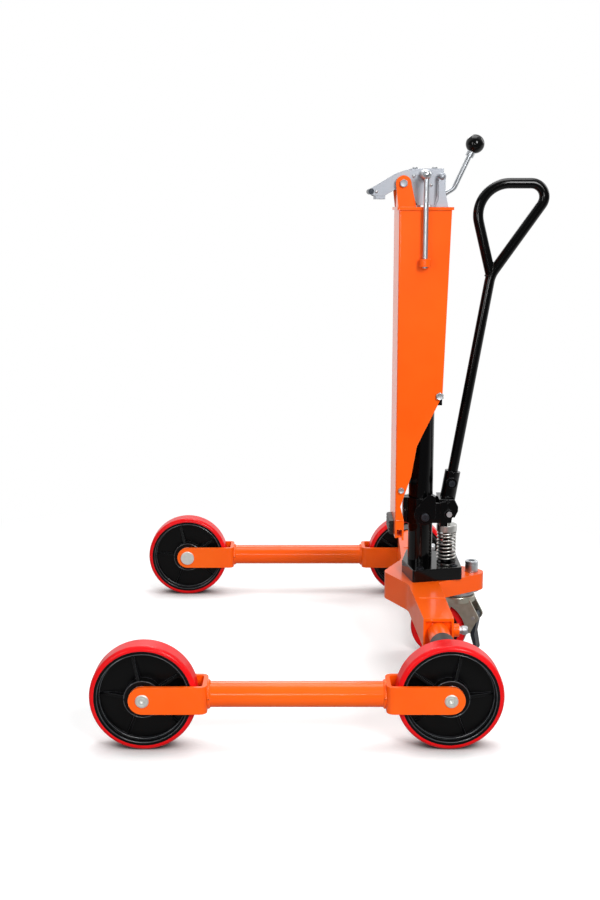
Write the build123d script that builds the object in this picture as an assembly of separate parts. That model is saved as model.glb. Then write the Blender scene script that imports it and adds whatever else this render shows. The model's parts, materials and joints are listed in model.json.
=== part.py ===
from build123d import *
import math
import os

# Hydraulic drum trolley. Millimetres, +Z up, floor at Z = 0.
# +X points to the operator, -X to the load, and X = Y = 0 is the axis of the load that it carries.

# Running fits and gaps, and how far pieces of one solid run into each other
SHAFT_GAP = 0.06
PLAY = 0.3
SIDE_PLAY = 1.0
MERGE = 1.0

# Load wheels
WHEEL_D = 200.0
WHEEL_W = 50.0
TYRE_T = 9.0
TYRE_SHOULDER = 8.0
RIM_WALL = 6.0
RIM_LIP = 3.0
WEB_T = 12.0
HUB_D = 70.0
RIB_COUNT = 5
FRONT_RIB_TURN = 176.0
REAR_RIB_TURN = 3.0
RIB_T = 5.0
RIB_DROP = 3.0
RIB_FOOT_H = 15.0
AXLE_D = 25.0
AXLE_PROUD = 3.0
AXLE_DIMPLE_D = 5.0
AXLE_HEAD_D = 34.0
AXLE_HEAD_T = 5.0
BEARING_D = 52.0
BEARING_W = 15.0

# Side legs: a tube between two U-shaped forks bent from flat bar
WHEEL_BASE = 566.0
REAR_AXLE_LAG = 5.0
LEG_Y = 490.0
LEG_TUBE_D = 48.0
LEG_TUBE_WALL = 4.0
FORK_BAR_H = 52.0
FORK_BAR_T = 8.0
FORK_REACH = 118.0
FORK_TYRE_GAP = 4.0
FORK_BEND_R = 14.0
WELD_LEG = 6.0
VENT_D = 10.0

# Telescoping spigot of each leg, and the box arm that holds it
ARM_END_Y = 335.0
ARM_W = 60.0
ARM_WALL = 4.0
ARM_TAPER = 4.0
SPIGOT_D = 42.0
SPIGOT_WALL = 4.0
SPIGOT_HELD = 120.0
SPIGOT_X = 368.0
SPIGOT_LUG_T = 8.0
STOP_D = 48.0
STOP_L = 42.0
GUIDE_PLATE_T = 10.0
CLAMP_BOSS_D = 26.0
CLAMP_BOSS_L = 12.0
CLAMP_SCREW_D = 12.0
CLAMP_HEAD_D = 18.0
CLAMP_HEAD_L = 17.0
CLAMP_INSET = 18.0

# Base frame: a flanged hub with a nose, two box arms and a tapered tail
FRAME_TOP_Z = 195.0
FRAME_H = 59.0
FRAME_TOP_T = 6.0
FRAME_WALL = 5.0
NOSE_X = 280.0
NOSE_ROOT_X = 328.0
NOSE_ROOT_Y = 100.0
NOSE_TIP_R = 30.0
NOSE_ROOT_R = 70.0
TAIL_ROOT_Y = 88.0
TAIL_R = 26.0
TAIL_X = 475.0
TAIL_CUT_X = 404.0
TAIL_H = 37.0
TAIL_BOLT_D = 20.0
TAIL_HEAD_D = 29.0
TAIL_HEAD_H = 25.0

# Swivel caster under the tail
CASTER_X = 446.0
CASTER_TURN = -20.0
CASTER_WHEEL_D = 125.0
CASTER_WHEEL_W = 30.0
CASTER_TYRE_T = 14.0
CASTER_TYRE_SHOULDER = 6.0
CASTER_TRAIL = 41.4
CASTER_PLATE_FRONT_X = 396.0
CASTER_PLATE_W = 84.0
CASTER_PLATE_T = 6.0
CASTER_PLATE_END_R = 17.0
CASTER_DISH_D = 70.0
CASTER_DISH_H = 6.0
CASTER_CROWN_D = 76.0
CASTER_CROWN_T = 14.0
CASTER_CHEEK_T = 4.0
CASTER_CHEEK_GAP = 4.0
CASTER_ARCH_GAP = 3.0
CASTER_AXLE_D = 12.0
CASTER_HUB_D = 32.0
CASTER_PIN_D = 16.0
CASTER_BOLT_D = 8.0
CASTER_BOLT_HEAD_D = 14.4
CASTER_BOLT_HEAD_H = 4.0
CASTER_BOSS_R = 13.8
CASTER_NUT_D = 19.2
CASTER_NUT_H = 6.0
PEDAL_PIN_D = 8.0
PEDAL_PIN_PROUD = 2.0
PEDAL_LOBE_R = 12.0
PEDAL_HUB_R = 8.8
PEDAL_T = 4.0
PEDAL_LEAD = 40.6
PEDAL_RISE = 35.5
PEDAL_W = 34.0
PEDAL_KNEE_DROP = 42.0
PEDAL_TIP_OUT = 9.0
PEDAL_TIP_DROP = 75.0

# Pump block and lift cylinder
BLOCK_H = 27.0
BLOCK_NOSE_X = 321.0
BLOCK_FRONT_X = 338.0
BLOCK_REAR_X = 446.0
BLOCK_FRONT_HALF_W = 89.0
BLOCK_REAR_HALF_W = 63.5
BLOCK_BOLT_D = 10.0
BLOCK_BOLT_HEAD_D = 16.0
BLOCK_BOLT_HEAD_H = 10.0
BLOCK_BOLT_PROUD = 2.0
BLOCK_BOLT_INSET = 16.0
BLOCK_CORNER_R = 5.0
BLOCK_EDGE_R = 2.0
BLOCK_FLOOR = 4.0
COLUMN_X = 360.0
COLUMN_D = 53.0
COLUMN_BORE = 42.0
COLUMN_TOP_Z = 830.0
GLAND_H = 14.0
GLAND_DEPTH = 20.0
GLAND_CHAMFER = 2.0
RAM_D = 30.0
PISTON_H = 25.0
PISTON_Z = 300.0
SEAL_W = 4.0
SEAL_DEPTH = 2.5
VALVE_D = 16.0
VALVE_L = 18.0
VALVE_HEAD_D = 21.6
VALVE_HEAD_H = 10.0
VALVE_NECK = 1.0

# Hand pump: plunger, return spring and rocker
PUMP_X = 418.5
BARREL_D = 26.0
BARREL_H = 36.0
PLUNGER_D = 16.0
PLUNGER_Z = 226.0
CAP_D = 45.0
CAP_Z = 287.0
CAP_H = 16.0
CAP_EDGE_R = 2.0
NECK_D = 16.0
SPRING_D = 43.0
SPRING_WIRE_D = 4.5
SPRING_TURNS = 8
FULCRUM_X = 366.0
FULCRUM_Z = 328.0
ROLLER_Z = 334.0
ROLLER_D = 20.0
ROLLER_PIN_D = 12.0
COLLAR_D = 66.0
COLLAR_H = 56.0
COLLAR_Z = 310.0
COLLAR_LIP = 6.0
COLLAR_SLIT = 4.0
COLLAR_BOLT_D = 8.0
TRUNNION_D = 14.0
TRUNNION_HEAD_D = 18.0
TRUNNION_HEAD_H = 6.0
TRUNNION_HEAD_R = 2.0
TRUNNION_KEY_D = 10.0
CHEEK_INNER_Y = 36.0
CHEEK_T = 6.0
BAR_INNER_Y = 34.0
BAR_T = 4.0
ROCKER_LOW_Z = 307.0
ROCKER_H = 58.0
ROCKER_TAIL = 19.0
ROCKER_CORNER = 7.0
ROCKER_GROOVE = 2.0
EGG_R = 23.5
EGG_RISE = 5.5
EGG_TOP_R = 12.0
EGG_TOP_LEAN = 11.0
EGG_TOP_RISE = 37.0
LUG_ROOT_X = 399.0
LUG_PROUD = 3.0
PIN_BOSS_D = 20.0
ROLLER_ROOM = 4.0
WEB_H = 18.0
PIN_PROUD = 2.0

# Pump handle
HANDLE_D = 22.0
SOCKET_D = 34.0
SOCKET_LOW_Z = 352.0
SOCKET_TOP_Z = 422.0
SOCKET_STOP = 16.0
SOCKET_BOLT_Z = 398.0
SOCKET_BOLT_D = 8.0
SOCKET_BOSS_D = 24.0
SOCKET_BOSS_L = 3.0
SOCKET_HEAD_D = 13.6
SOCKET_HEAD_H = 7.0
SOCKET_NUT_D = 14.4
SOCKET_NUT_H = 6.0
SOCKET_BOLT_PROUD = 2.0
STEM_X = 416.0
STEM_Z = 345.0
JOIN_X = 500.0
JOIN_Z = 845.0
JOIN_R = 60.0
LOOP_TOP_Z = 1036.0
LOOP_FRONT_X = 452.0
LOOP_FRONT_R = 65.0
LOOP_REAR_X = 634.0
LOOP_REAR_R = 28.0

# Lifting carriage
SHELL_T = 4.0
SHELL_FRONT_X = 299.0
SHELL_REAR_X = 407.0
SHELL_HALF_W = 75.0
SHELL_LOW_Z = 290.0
SHELL_ELBOW_X = 395.0
SHELL_ELBOW_Z = 598.0
SHELL_WAIST_X = 343.0
SHELL_WAIST_Z = 490.0
SHELL_STEP_X = 332.0
SHELL_STEP_Z = 425.0
SHELL_WAIST_R = 30.0
SHELL_BEND_R = 3.6
SHELL_NECK_X = 310.0
SHELL_NECK_Z = 359.0
SHELL_FOOT_X = 318.0
SHELL_FOOT_Z = 328.0
FOOT_WINDOW_H = 18.0
HEAD_Z = 981.0
HEAD_T = 6.0
HEAD_OVERHANG = 4.0
SHELF_LIP_H = 38.0
SHELF_LIP_DROP = 5.0
UPSTAND_H = 31.0
UPSTAND_GAP = 3.0
PAD_T = 11.0
PAD_H = 30.0
PAD_HALF_W = 42.0
PAD_Z = 290.0
PAD_EDGE_R = 4.0
UPPER_GUIDE_Z = 597.0
LOWER_GUIDE_Z = 475.0
GUIDE_H = 40.0
GUIDE_BOLT_D = 10.0
GUIDE_BOLT_X = 389.0
GUIDE_BOLT_L = 24.0
GUIDE_SETBACK = 4.0
GUIDE_LAP = 6.0
HEX_HEAD_D = 17.0
HEX_HEAD_H = 7.0
TIE_X = 311.0
TIE_Z = 395.0
TIE_D = 14.0
TIE_BOLT_D = 7.0
TIE_BOLT_HEAD_D = 13.0

# Rim jaw on the carriage head: two plates tied by a bridge block
PIVOT_X = 309.0
PIVOT_RISE = 48.0
PIVOT_D = 12.0
PIVOT_PROUD = 2.0
LUG_R = 16.0
LUG_T = 8.0
LUG_BASE_FRONT_X = 299.0
LUG_BASE_REAR_X = 337.0
JAW_INSET = 41.0
JAW_PLATE_T = 8.0
JAW_RISE = 30.0
JAW_REAR_X = 392.0
JAW_BEAK_H = 9.0
JAW_TAIL_FRONT_X = 338.0
JAW_TAIL_REAR_X = 374.0
JAW_TAIL_SWELL = 5.5
JAW_TAIL_LIFT = 4.0
JAW_NOSE_REACH = 57.0
JAW_NOSE_DROP = 16.0
JAW_NOSE_R = 9.0
NOSE_BAR_D = 12.0
GRIP_L = 20.0
GRIP_H = 7.0
GRIP_TOOTH = 2.0
GRIP_TEETH = 4
BRIDGE_FRONT_X = 325.0
BRIDGE_REAR_X = 390.0
BRIDGE_H = 15.0
JAW_BOLT_FRONT_X = 336.0
JAW_BOLT_REAR_X = 377.0
JAW_BOLT_HEAD_D = 13.0
JAW_BOLT_HEAD_H = 4.0
JAW_BOLT_D = 8.0
SLOT_FRONT_X = 303.5
SLOT_REAR_X = 396.0

# Link rods beside the head, driven by studs on the jaw, and the stop pins behind them
LINK_X = 352.5
LINK_RISE = 17.0
LINK_STANDOFF = 12.0
LINK_D = 10.5
LINK_BALL_D = 20.0
LINK_FLAT = 10.0
LINK_TIP = 3.0
LINK_GUIDE_D = 23.0
LINK_GUIDE_H = 16.0
LINK_GUIDE_DROP = 114.0
STUD_D = 10.0
STUD_SHOULDER_D = 16.0
STUD_SHOULDER_L = 6.0
STOP_PIN_X = 387.0
STOP_PIN_GAP = 8.0
STOP_BLADE_T = 10.0
STOP_NECK_W = 14.4
STOP_FOOT_W = 27.0
STOP_FLARE_H = 32.0
STOP_BALL_D = 17.0
STOP_RISE = 61.5

# Lock lever
LEVER_X = 399.0
LEVER_RISE = 23.0
LEVER_HUB_D = 18.0
LEVER_HUB_L = 10.0
LEVER_PIN_D = 10.0
LEVER_LUG_T = 7.0
LEVER_ROD_D = 11.0
LEVER_BEND_OUT = 27.0
LEVER_BEND_UP = 16.5
LEVER_BEND_R = 18.0
KNOB_OUT = 70.0
KNOB_UP = 109.0
KNOB_D = 40.0
KNOB_NUT_D = 18.0
KNOB_NUT_H = 9.0

# Sizes that follow from the ones above
AXLE_Z = WHEEL_D / 2
REAR_AXLE_X = SPIGOT_X + REAR_AXLE_LAG
FRONT_AXLE_X = REAR_AXLE_X - WHEEL_BASE
RIM_D = WHEEL_D - 2 * TYRE_T
FORK_INNER = WHEEL_W / 2 + FORK_TYRE_GAP
FORK_OUTER = FORK_INNER + FORK_BAR_T
HUB_W = 2 * (FORK_INNER - SIDE_PLAY)
FORK_END_R = FORK_BAR_H / 2
FRAME_LOW_Z = FRAME_TOP_Z - FRAME_H
SPIGOT_Z = FRAME_TOP_Z - FRAME_H / 2
ARM_FRONT_X = SPIGOT_X - ARM_W / 2
ARM_REAR_X = SPIGOT_X + ARM_W / 2
LUG_OUTER_Y = LEG_Y - FORK_OUTER
TAIL_LOW_Z = FRAME_TOP_Z - TAIL_H
BLOCK_TOP_Z = FRAME_TOP_Z + BLOCK_H
BLOCK_SEAT_Z = BLOCK_TOP_Z + BLOCK_BOLT_PROUD - BLOCK_BOLT_HEAD_H
CASTER_PLATE_Z = TAIL_LOW_Z - CASTER_PLATE_T
CASTER_DISH_Z = CASTER_PLATE_Z - CASTER_DISH_H
CASTER_CROWN_Z = CASTER_DISH_Z - PLAY
CASTER_AXLE_Z = CASTER_WHEEL_D / 2
CASTER_AXLE_X = CASTER_X - CASTER_TRAIL
CASTER_CHEEK_Y = CASTER_WHEEL_W / 2 + CASTER_CHEEK_GAP
PEDAL_X = CASTER_X + PEDAL_LEAD
PEDAL_Z = CASTER_AXLE_Z + PEDAL_RISE
HEAD_TOP_Z = HEAD_Z + HEAD_T
PIVOT_Z = HEAD_TOP_Z + PIVOT_RISE
JAW_TOP_Z = PIVOT_Z + JAW_RISE
JAW_TAIL_Z = HEAD_TOP_Z + JAW_TAIL_LIFT
JAW_NOSE_X = PIVOT_X - JAW_NOSE_REACH
JAW_NOSE_Z = PIVOT_Z - JAW_NOSE_DROP
LINK_Z = PIVOT_Z + LINK_RISE
LINK_GUIDE_Z = HEAD_Z - LINK_GUIDE_DROP
LINK_LOW_Z = LINK_GUIDE_Z - LINK_TIP
STOP_BALL_Z = HEAD_TOP_Z + STOP_RISE
LEVER_Z = HEAD_TOP_Z + LEVER_RISE
LEVER_BEND_X = LEVER_X + LEVER_BEND_OUT
LEVER_BEND_Z = LEVER_Z + LEVER_BEND_UP
KNOB_X = LEVER_X + KNOB_OUT
KNOB_Z = LEVER_Z + KNOB_UP
SHELF_DEPTH = SHELL_FOOT_X - SHELL_FRONT_X
CHEEK_OUTER_Y = CHEEK_INNER_Y + CHEEK_T
BAR_OUTER_Y = BAR_INNER_Y + BAR_T
JAW_INNER_Y = SHELL_HALF_W - JAW_INSET
JAW_OUTER_Y = JAW_INNER_Y + JAW_PLATE_T
UPSTAND_HALF_W = JAW_INNER_Y - UPSTAND_GAP
LINK_Y = SHELL_HALF_W + LINK_STANDOFF
STOP_PIN_Y = JAW_OUTER_Y + STOP_PIN_GAP + STOP_BLADE_T / 2
LEVER_Y = SHELL_HALF_W + HEAD_OVERHANG - LEVER_LUG_T - SIDE_PLAY - LEVER_HUB_L / 2
LUG_INNER_Y = JAW_OUTER_Y + 2 * SIDE_PLAY
STEM_LEAN = (JOIN_X - STEM_X) / (JOIN_Z - STEM_Z)


def rod(start, end, radius):
    """A round bar between two points."""
    axis = Vector(*end) - Vector(*start)
    return extrude(Plane(origin=start, z_dir=axis) * Circle(radius), axis.length)


def tube(start, end, radius, wall):
    return rod(start, end, radius) - rod(start, end, radius - wall)


def slab(outline, low_y, high_y):
    """A plate with an X-Z outline, between two Y values."""
    return extrude(Plane.XZ.offset(-high_y) * outline, high_y - low_y)


def polygon(*points):
    return make_face(Polyline(*points, close=True))


def disc(x, z, radius):
    return Pos(x, z) * Circle(radius)


def hexagon(start, end, across_corners):
    axis = Vector(*end) - Vector(*start)
    flat = Plane(origin=start, z_dir=axis) * RegularPolygon(across_corners / 2, 6)
    return extrude(flat, axis.length)


def socket_screw(seat, end, shank_d, head_d, head_h):
    """A cap screw: its head stands on the seat point and its shank runs to the end point."""
    way = (Vector(*end) - Vector(*seat)).normalized()
    top = Vector(*seat) - way * head_h
    head = rod(top, seat, head_d / 2)
    key_depth = head_h / 2
    key = hexagon(top, (top + way * key_depth), head_d * 0.6)
    return head + rod(seat, end, shank_d / 2) - key


def line_of_centre(height):
    """X of the pump handle's leaning centre line at a height."""
    return STEM_X + (height - STEM_Z) * STEM_LEAN


def export(node, shape):
    export_step(shape, f"parts/{node}.step")


def wheel_tyre(diameter, width, thickness, shoulder):
    outer = Cylinder(diameter / 2, width)
    outer = fillet(outer.edges().filter_by(GeomType.CIRCLE), shoulder)
    return Rot(90, 0, 0) * (outer - Cylinder(diameter / 2 - thickness, width))


def wheel_core(first_rib):
    """Moulded core: rim, web, hub and sloping ribs on both sides of the web."""
    rim = Cylinder(RIM_D / 2, WHEEL_W) - Cylinder(RIM_D / 2 - RIM_WALL, WHEEL_W)
    step = Cylinder(RIM_D / 2, WHEEL_W / 2) - Cylinder(RIM_D / 2 - RIM_WALL - RIM_LIP, WHEEL_W / 2)
    core = rim + step + Cylinder(RIM_D / 2 - MERGE, WEB_T) + Cylinder(HUB_D / 2, HUB_W)
    hub_r = HUB_D / 2 - 2 * MERGE
    rim_r = RIM_D / 2 - RIM_WALL
    crest = WHEEL_W / 2 - RIB_DROP
    foot = RIB_FOOT_H / 2
    side = polygon((hub_r, -crest), (hub_r, crest), (rim_r, foot), (rim_r, -foot))
    rib = extrude(Plane.XZ * side, RIB_T / 2, both=True)
    for i in range(RIB_COUNT):
        core += Rot(0, 0, first_rib + i * 360 / RIB_COUNT) * rib
    seat = Cylinder(BEARING_D / 2, BEARING_W + 2 * PLAY)
    core -= Cylinder(AXLE_D / 2 + RIM_LIP, HUB_W)
    for end in (-1, 1):
        core -= Pos(0, 0, end * (HUB_W - BEARING_W) / 2) * seat
    return Rot(90, 0, 0) * core


def wheel_bearings(x, y):
    """The two ball bearings of a wheel, as closed rings on the axle."""
    ring = Cylinder(BEARING_D / 2 - SHAFT_GAP, BEARING_W) - Cylinder(AXLE_D / 2, BEARING_W)
    pair = []
    for end in (-1, 1):
        place = Pos(x, y + end * (HUB_W - BEARING_W) / 2, AXLE_Z)
        pair.append(place * Rot(90, 0, 0) * ring)
    return pair


def wheel_axle(x, side):
    """A headed axle pin: the head is on the inner fork arm, the plain end shows outside."""
    inner = side * (LEG_Y - FORK_OUTER)
    outer = side * (LEG_Y + FORK_OUTER + AXLE_PROUD)
    head = side * (LEG_Y - FORK_OUTER - AXLE_HEAD_T)
    pin = rod((x, inner, AXLE_Z), (x, outer, AXLE_Z), AXLE_D / 2)
    pin += rod((x, head, AXLE_Z), (x, inner, AXLE_Z), AXLE_HEAD_D / 2)
    dimple = rod((x, outer - side * AXLE_PROUD / 2, AXLE_Z), (x, outer, AXLE_Z), AXLE_DIMPLE_D / 2)
    return pin - dimple


def fork(axle_x, y, to_tube):
    """Flat bar bent to a U round the wheel. to_tube is +1 where the tube lies at higher X."""
    back = axle_x + to_tube * FORK_REACH
    nose = axle_x - to_tube * FORK_END_R
    length = FORK_REACH + FORK_END_R
    middle = (back + nose) / 2
    outer = Rectangle(length, 2 * FORK_OUTER)
    bends = outer.vertices().sort_by(Axis.X)[2:] if to_tube > 0 else outer.vertices().sort_by(Axis.X)[:2]
    outer = fillet(bends, FORK_BEND_R)
    inner = Rectangle(length, 2 * FORK_INNER)
    bends = inner.vertices().sort_by(Axis.X)[2:] if to_tube > 0 else inner.vertices().sort_by(Axis.X)[:2]
    inner = fillet(bends, FORK_BEND_R - FORK_BAR_T)
    low = AXLE_Z - FORK_BAR_H / 2
    bar = extrude(Pos(middle, y, low) * outer, FORK_BAR_H)
    bar -= extrude(Pos(middle - to_tube * FORK_BAR_T, y, low) * inner, FORK_BAR_H)
    run = Pos((axle_x + back) / 2, AXLE_Z) * Rectangle(FORK_REACH, FORK_BAR_H)
    bar &= slab(run + disc(axle_x, AXLE_Z, FORK_END_R), y - FORK_OUTER, y + FORK_OUTER)
    hole = rod((axle_x, y - FORK_OUTER, AXLE_Z), (axle_x, y + FORK_OUTER, AXLE_Z), AXLE_D / 2)
    vent = rod((back, y, AXLE_Z), (back - to_tube * FORK_BAR_T, y, AXLE_Z), VENT_D / 2)
    return bar - hole - vent


def leg_frame(side):
    """Welded leg: tube, two forks and the lug with the spigot that slides in the box arm."""
    y = side * LEG_Y
    front = FRONT_AXLE_X + FORK_REACH
    rear = REAR_AXLE_X - FORK_REACH
    tube_r = LEG_TUBE_D / 2
    leg = tube((front, y, AXLE_Z), (rear, y, AXLE_Z), tube_r, LEG_TUBE_WALL)
    bead = Cone(tube_r + WELD_LEG / 2, tube_r, WELD_LEG, align=(Align.CENTER, Align.CENTER, Align.MIN))
    bead -= Cylinder(tube_r - LEG_TUBE_WALL, 3 * WELD_LEG)
    leg += Pos(front, y, AXLE_Z) * Rot(0, 90, 0) * bead
    leg += Pos(rear, y, AXLE_Z) * Rot(0, -90, 0) * bead
    leg += fork(FRONT_AXLE_X, y, 1)
    leg += fork(REAR_AXLE_X, y, -1)
    spigot_r = SPIGOT_D / 2
    lug_low = AXLE_Z + AXLE_HEAD_D / 2 + SIDE_PLAY
    lug_run = Pos(SPIGOT_X, (lug_low + SPIGOT_Z) / 2) * Rectangle(SPIGOT_D, SPIGOT_Z - lug_low)
    lug_face = lug_run + disc(SPIGOT_X, SPIGOT_Z, spigot_r)
    lug_ys = sorted((side * LUG_OUTER_Y, side * (LUG_OUTER_Y - SPIGOT_LUG_T)))
    leg += slab(lug_face, *lug_ys)
    inner_end = (SPIGOT_X, side * (ARM_END_Y - SPIGOT_HELD), SPIGOT_Z)
    outer_end = (SPIGOT_X, side * LUG_OUTER_Y, SPIGOT_Z)
    leg += rod(inner_end, outer_end, spigot_r)
    return leg - rod(inner_end, outer_end, spigot_r - SPIGOT_WALL)


def spigot_stop(side):
    """Rubber collar on the spigot, which stops the leg against the end of the box arm."""
    outer = (SPIGOT_X, side * (LUG_OUTER_Y - SPIGOT_LUG_T), SPIGOT_Z)
    inner = (SPIGOT_X, side * (LUG_OUTER_Y - SPIGOT_LUG_T - STOP_L), SPIGOT_Z)
    return tube(inner, outer, STOP_D / 2, (STOP_D - SPIGOT_D) / 2)


def frame_outline(inset):
    """Plan of the base frame, drawn in by an inset: nose, two arms and the tapered tail."""
    left = (
        (NOSE_X, 0),
        (NOSE_ROOT_X, -NOSE_ROOT_Y),
        (ARM_FRONT_X, -ARM_END_Y),
        (ARM_REAR_X, -ARM_END_Y),
        (ARM_REAR_X - ARM_TAPER, -TAIL_ROOT_Y),
    )
    reach = math.hypot(TAIL_X - left[4][0], TAIL_ROOT_Y)
    turn = math.atan2(TAIL_ROOT_Y, TAIL_X - left[4][0]) - math.asin(TAIL_R / reach)
    run = math.sqrt(reach**2 - TAIL_R**2)
    tangent = (left[4][0] + run * math.cos(turn), left[4][1] + run * math.sin(turn))
    right = [(x, -y) for x, y in reversed(left[1:])]
    back = (tangent[0], -tangent[1])
    body = polygon(*left, tangent, back, *right)
    corners = body.vertices()
    roots = corners.sort_by_distance((NOSE_ROOT_X, -NOSE_ROOT_Y))[:1]
    roots += corners.sort_by_distance((NOSE_ROOT_X, NOSE_ROOT_Y))[:1]
    body = fillet(roots, NOSE_ROOT_R)
    tip = body.vertices().sort_by(Axis.X)[0]
    body = fillet(tip, NOSE_TIP_R) + disc(TAIL_X, 0, TAIL_R)
    return offset(body, -inset, kind=Kind.INTERSECTION) if inset else body


def base_frame():
    """Welded base: top plate with skirts, closed box arms, spigot guides and a plated tail."""
    frame = extrude(Pos(0, 0, FRAME_LOW_Z) * frame_outline(0), FRAME_H)
    frame -= extrude(Pos(0, 0, FRAME_LOW_Z) * frame_outline(FRAME_WALL), FRAME_H - FRAME_TOP_T)
    tail_l = TAIL_X + TAIL_R - TAIL_CUT_X
    frame -= Pos(TAIL_CUT_X + tail_l / 2, 0, FRAME_LOW_Z) * Box(
        tail_l, 3 * TAIL_ROOT_Y, FRAME_H - TAIL_H, align=(Align.CENTER, Align.CENTER, Align.MIN)
    )
    sole = extrude(Pos(0, 0, TAIL_LOW_Z) * frame_outline(MERGE), FRAME_TOP_T)
    sole &= Pos(TAIL_CUT_X + tail_l / 2, 0, TAIL_LOW_Z) * Box(tail_l, 3 * TAIL_ROOT_Y, 3 * FRAME_TOP_T)
    frame += sole
    inner_w = ARM_W - 2 * ARM_WALL
    inner_h = FRAME_H - FRAME_TOP_T - ARM_WALL
    guide_in_y = ARM_END_Y - SPIGOT_HELD + GUIDE_PLATE_T
    floor_l = ARM_END_Y - guide_in_y + 3 * GUIDE_PLATE_T
    for side in (-1, 1):
        mouth_y = side * (ARM_END_Y - FRAME_WALL / 2)
        mouth = Box(inner_w, 2 * FRAME_WALL, inner_h)
        frame -= Pos(SPIGOT_X, mouth_y, FRAME_TOP_Z - FRAME_TOP_T - inner_h / 2) * mouth
        floor = Box(ARM_W - 2 * MERGE, floor_l, ARM_WALL, align=(Align.CENTER, Align.CENTER, Align.MIN))
        frame += Pos(SPIGOT_X, side * (ARM_END_Y - floor_l / 2), FRAME_LOW_Z) * floor
        for guide_y in (ARM_END_Y - FRAME_WALL - GUIDE_PLATE_T, guide_in_y + GUIDE_PLATE_T):
            plate = Box(inner_w + 2 * MERGE, GUIDE_PLATE_T, inner_h + 2 * MERGE)
            frame += Pos(SPIGOT_X, side * guide_y, FRAME_TOP_Z - FRAME_TOP_T - inner_h / 2) * plate
        start = (SPIGOT_X, side * (guide_in_y - 3 * GUIDE_PLATE_T), SPIGOT_Z)
        end = (SPIGOT_X, side * (ARM_END_Y + MERGE), SPIGOT_Z)
        frame -= rod(start, end, SPIGOT_D / 2 + SHAFT_GAP)
        clamp_y = side * (ARM_END_Y - CLAMP_INSET)
        wall_x = ARM_REAR_X - ARM_WALL
        boss_end = (ARM_REAR_X + CLAMP_BOSS_L, clamp_y, SPIGOT_Z)
        frame += rod((wall_x, clamp_y, SPIGOT_Z), boss_end, CLAMP_BOSS_D / 2)
        frame -= rod((SPIGOT_X, clamp_y, SPIGOT_Z), boss_end, CLAMP_SCREW_D / 2)
    for x, y in block_bolt_places():
        frame -= rod((x, y, FRAME_TOP_Z - 2 * FRAME_TOP_T), (x, y, FRAME_TOP_Z), BLOCK_BOLT_D / 2)
    for x, y in caster_bolt_places():
        frame -= rod((x, y, TAIL_LOW_Z), (x, y, TAIL_LOW_Z + FRAME_TOP_T), CASTER_BOLT_D / 2)
    return frame - rod((TAIL_X, 0, FRAME_LOW_Z), (TAIL_X, 0, FRAME_TOP_Z), TAIL_BOLT_D / 2)


def clamp_screws():
    """The two cap screws that hold the spigots."""
    tip_x = SPIGOT_X + SPIGOT_D / 2 + PLAY
    seat_x = ARM_REAR_X + CLAMP_BOSS_L
    screws = []
    for side in (-1, 1):
        y = side * (ARM_END_Y - CLAMP_INSET)
        seat = (seat_x, y, SPIGOT_Z)
        screws.append(socket_screw(seat, (tip_x, y, SPIGOT_Z), CLAMP_SCREW_D, CLAMP_HEAD_D, CLAMP_HEAD_L))
    return Compound(screws)


def tail_bolt():
    """Large cap screw through the end of the tail and the caster plate."""
    seat = (TAIL_X, 0, FRAME_TOP_Z)
    low = (TAIL_X, 0, CASTER_PLATE_Z)
    return socket_screw(seat, low, TAIL_BOLT_D, TAIL_HEAD_D, TAIL_HEAD_H)


def block_bolt_places():
    inset = BLOCK_BOLT_INSET
    front = [(BLOCK_FRONT_X + inset, s * (BLOCK_FRONT_HALF_W - inset)) for s in (-1, 1)]
    rear = [(BLOCK_REAR_X - inset, s * (BLOCK_REAR_HALF_W - inset)) for s in (-1, 1)]
    return front + rear


def valve_point(out):
    """A point on the axis of the lowering valve, out from the right side face of the block."""
    way = Vector(BLOCK_FRONT_HALF_W - BLOCK_REAR_HALF_W, BLOCK_REAR_X - BLOCK_FRONT_X, 0).normalized()
    x = (BLOCK_FRONT_X + BLOCK_REAR_X) / 2
    y = (BLOCK_FRONT_HALF_W + BLOCK_REAR_HALF_W) / 2
    return (x + way.X * out, y + way.Y * out, FRAME_TOP_Z + BLOCK_H / 2)


def pump_block():
    """Cast pump block with the pump barrel standing on it and a bore for the plunger."""
    plan = polygon(
        (BLOCK_NOSE_X, 0),
        (BLOCK_FRONT_X, -BLOCK_FRONT_HALF_W),
        (BLOCK_REAR_X, -BLOCK_REAR_HALF_W),
        (BLOCK_REAR_X, BLOCK_REAR_HALF_W),
        (BLOCK_FRONT_X, BLOCK_FRONT_HALF_W),
    )
    plan = fillet(plan.vertices(), BLOCK_CORNER_R)
    block = extrude(Pos(0, 0, FRAME_TOP_Z) * plan, BLOCK_H)
    block = fillet(block.faces().sort_by(Axis.Z)[-1].edges(), BLOCK_EDGE_R)
    barrel_top = BLOCK_TOP_Z + BARREL_H
    block += rod((PUMP_X, 0, BLOCK_TOP_Z - MERGE), (PUMP_X, 0, barrel_top), BARREL_D / 2)
    bore_low = (PUMP_X, 0, FRAME_TOP_Z + BLOCK_FLOOR)
    block -= rod(bore_low, (PUMP_X, 0, barrel_top), PLUNGER_D / 2 + SHAFT_GAP)
    for x, y in block_bolt_places():
        block -= rod((x, y, FRAME_TOP_Z), (x, y, BLOCK_TOP_Z), BLOCK_BOLT_D / 2)
        block -= rod((x, y, BLOCK_SEAT_Z), (x, y, BLOCK_TOP_Z), BLOCK_BOLT_HEAD_D / 2 + PLAY)
    return block - rod(valve_point(-VALVE_L), valve_point(0), VALVE_D / 2 + SHAFT_GAP)


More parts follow.
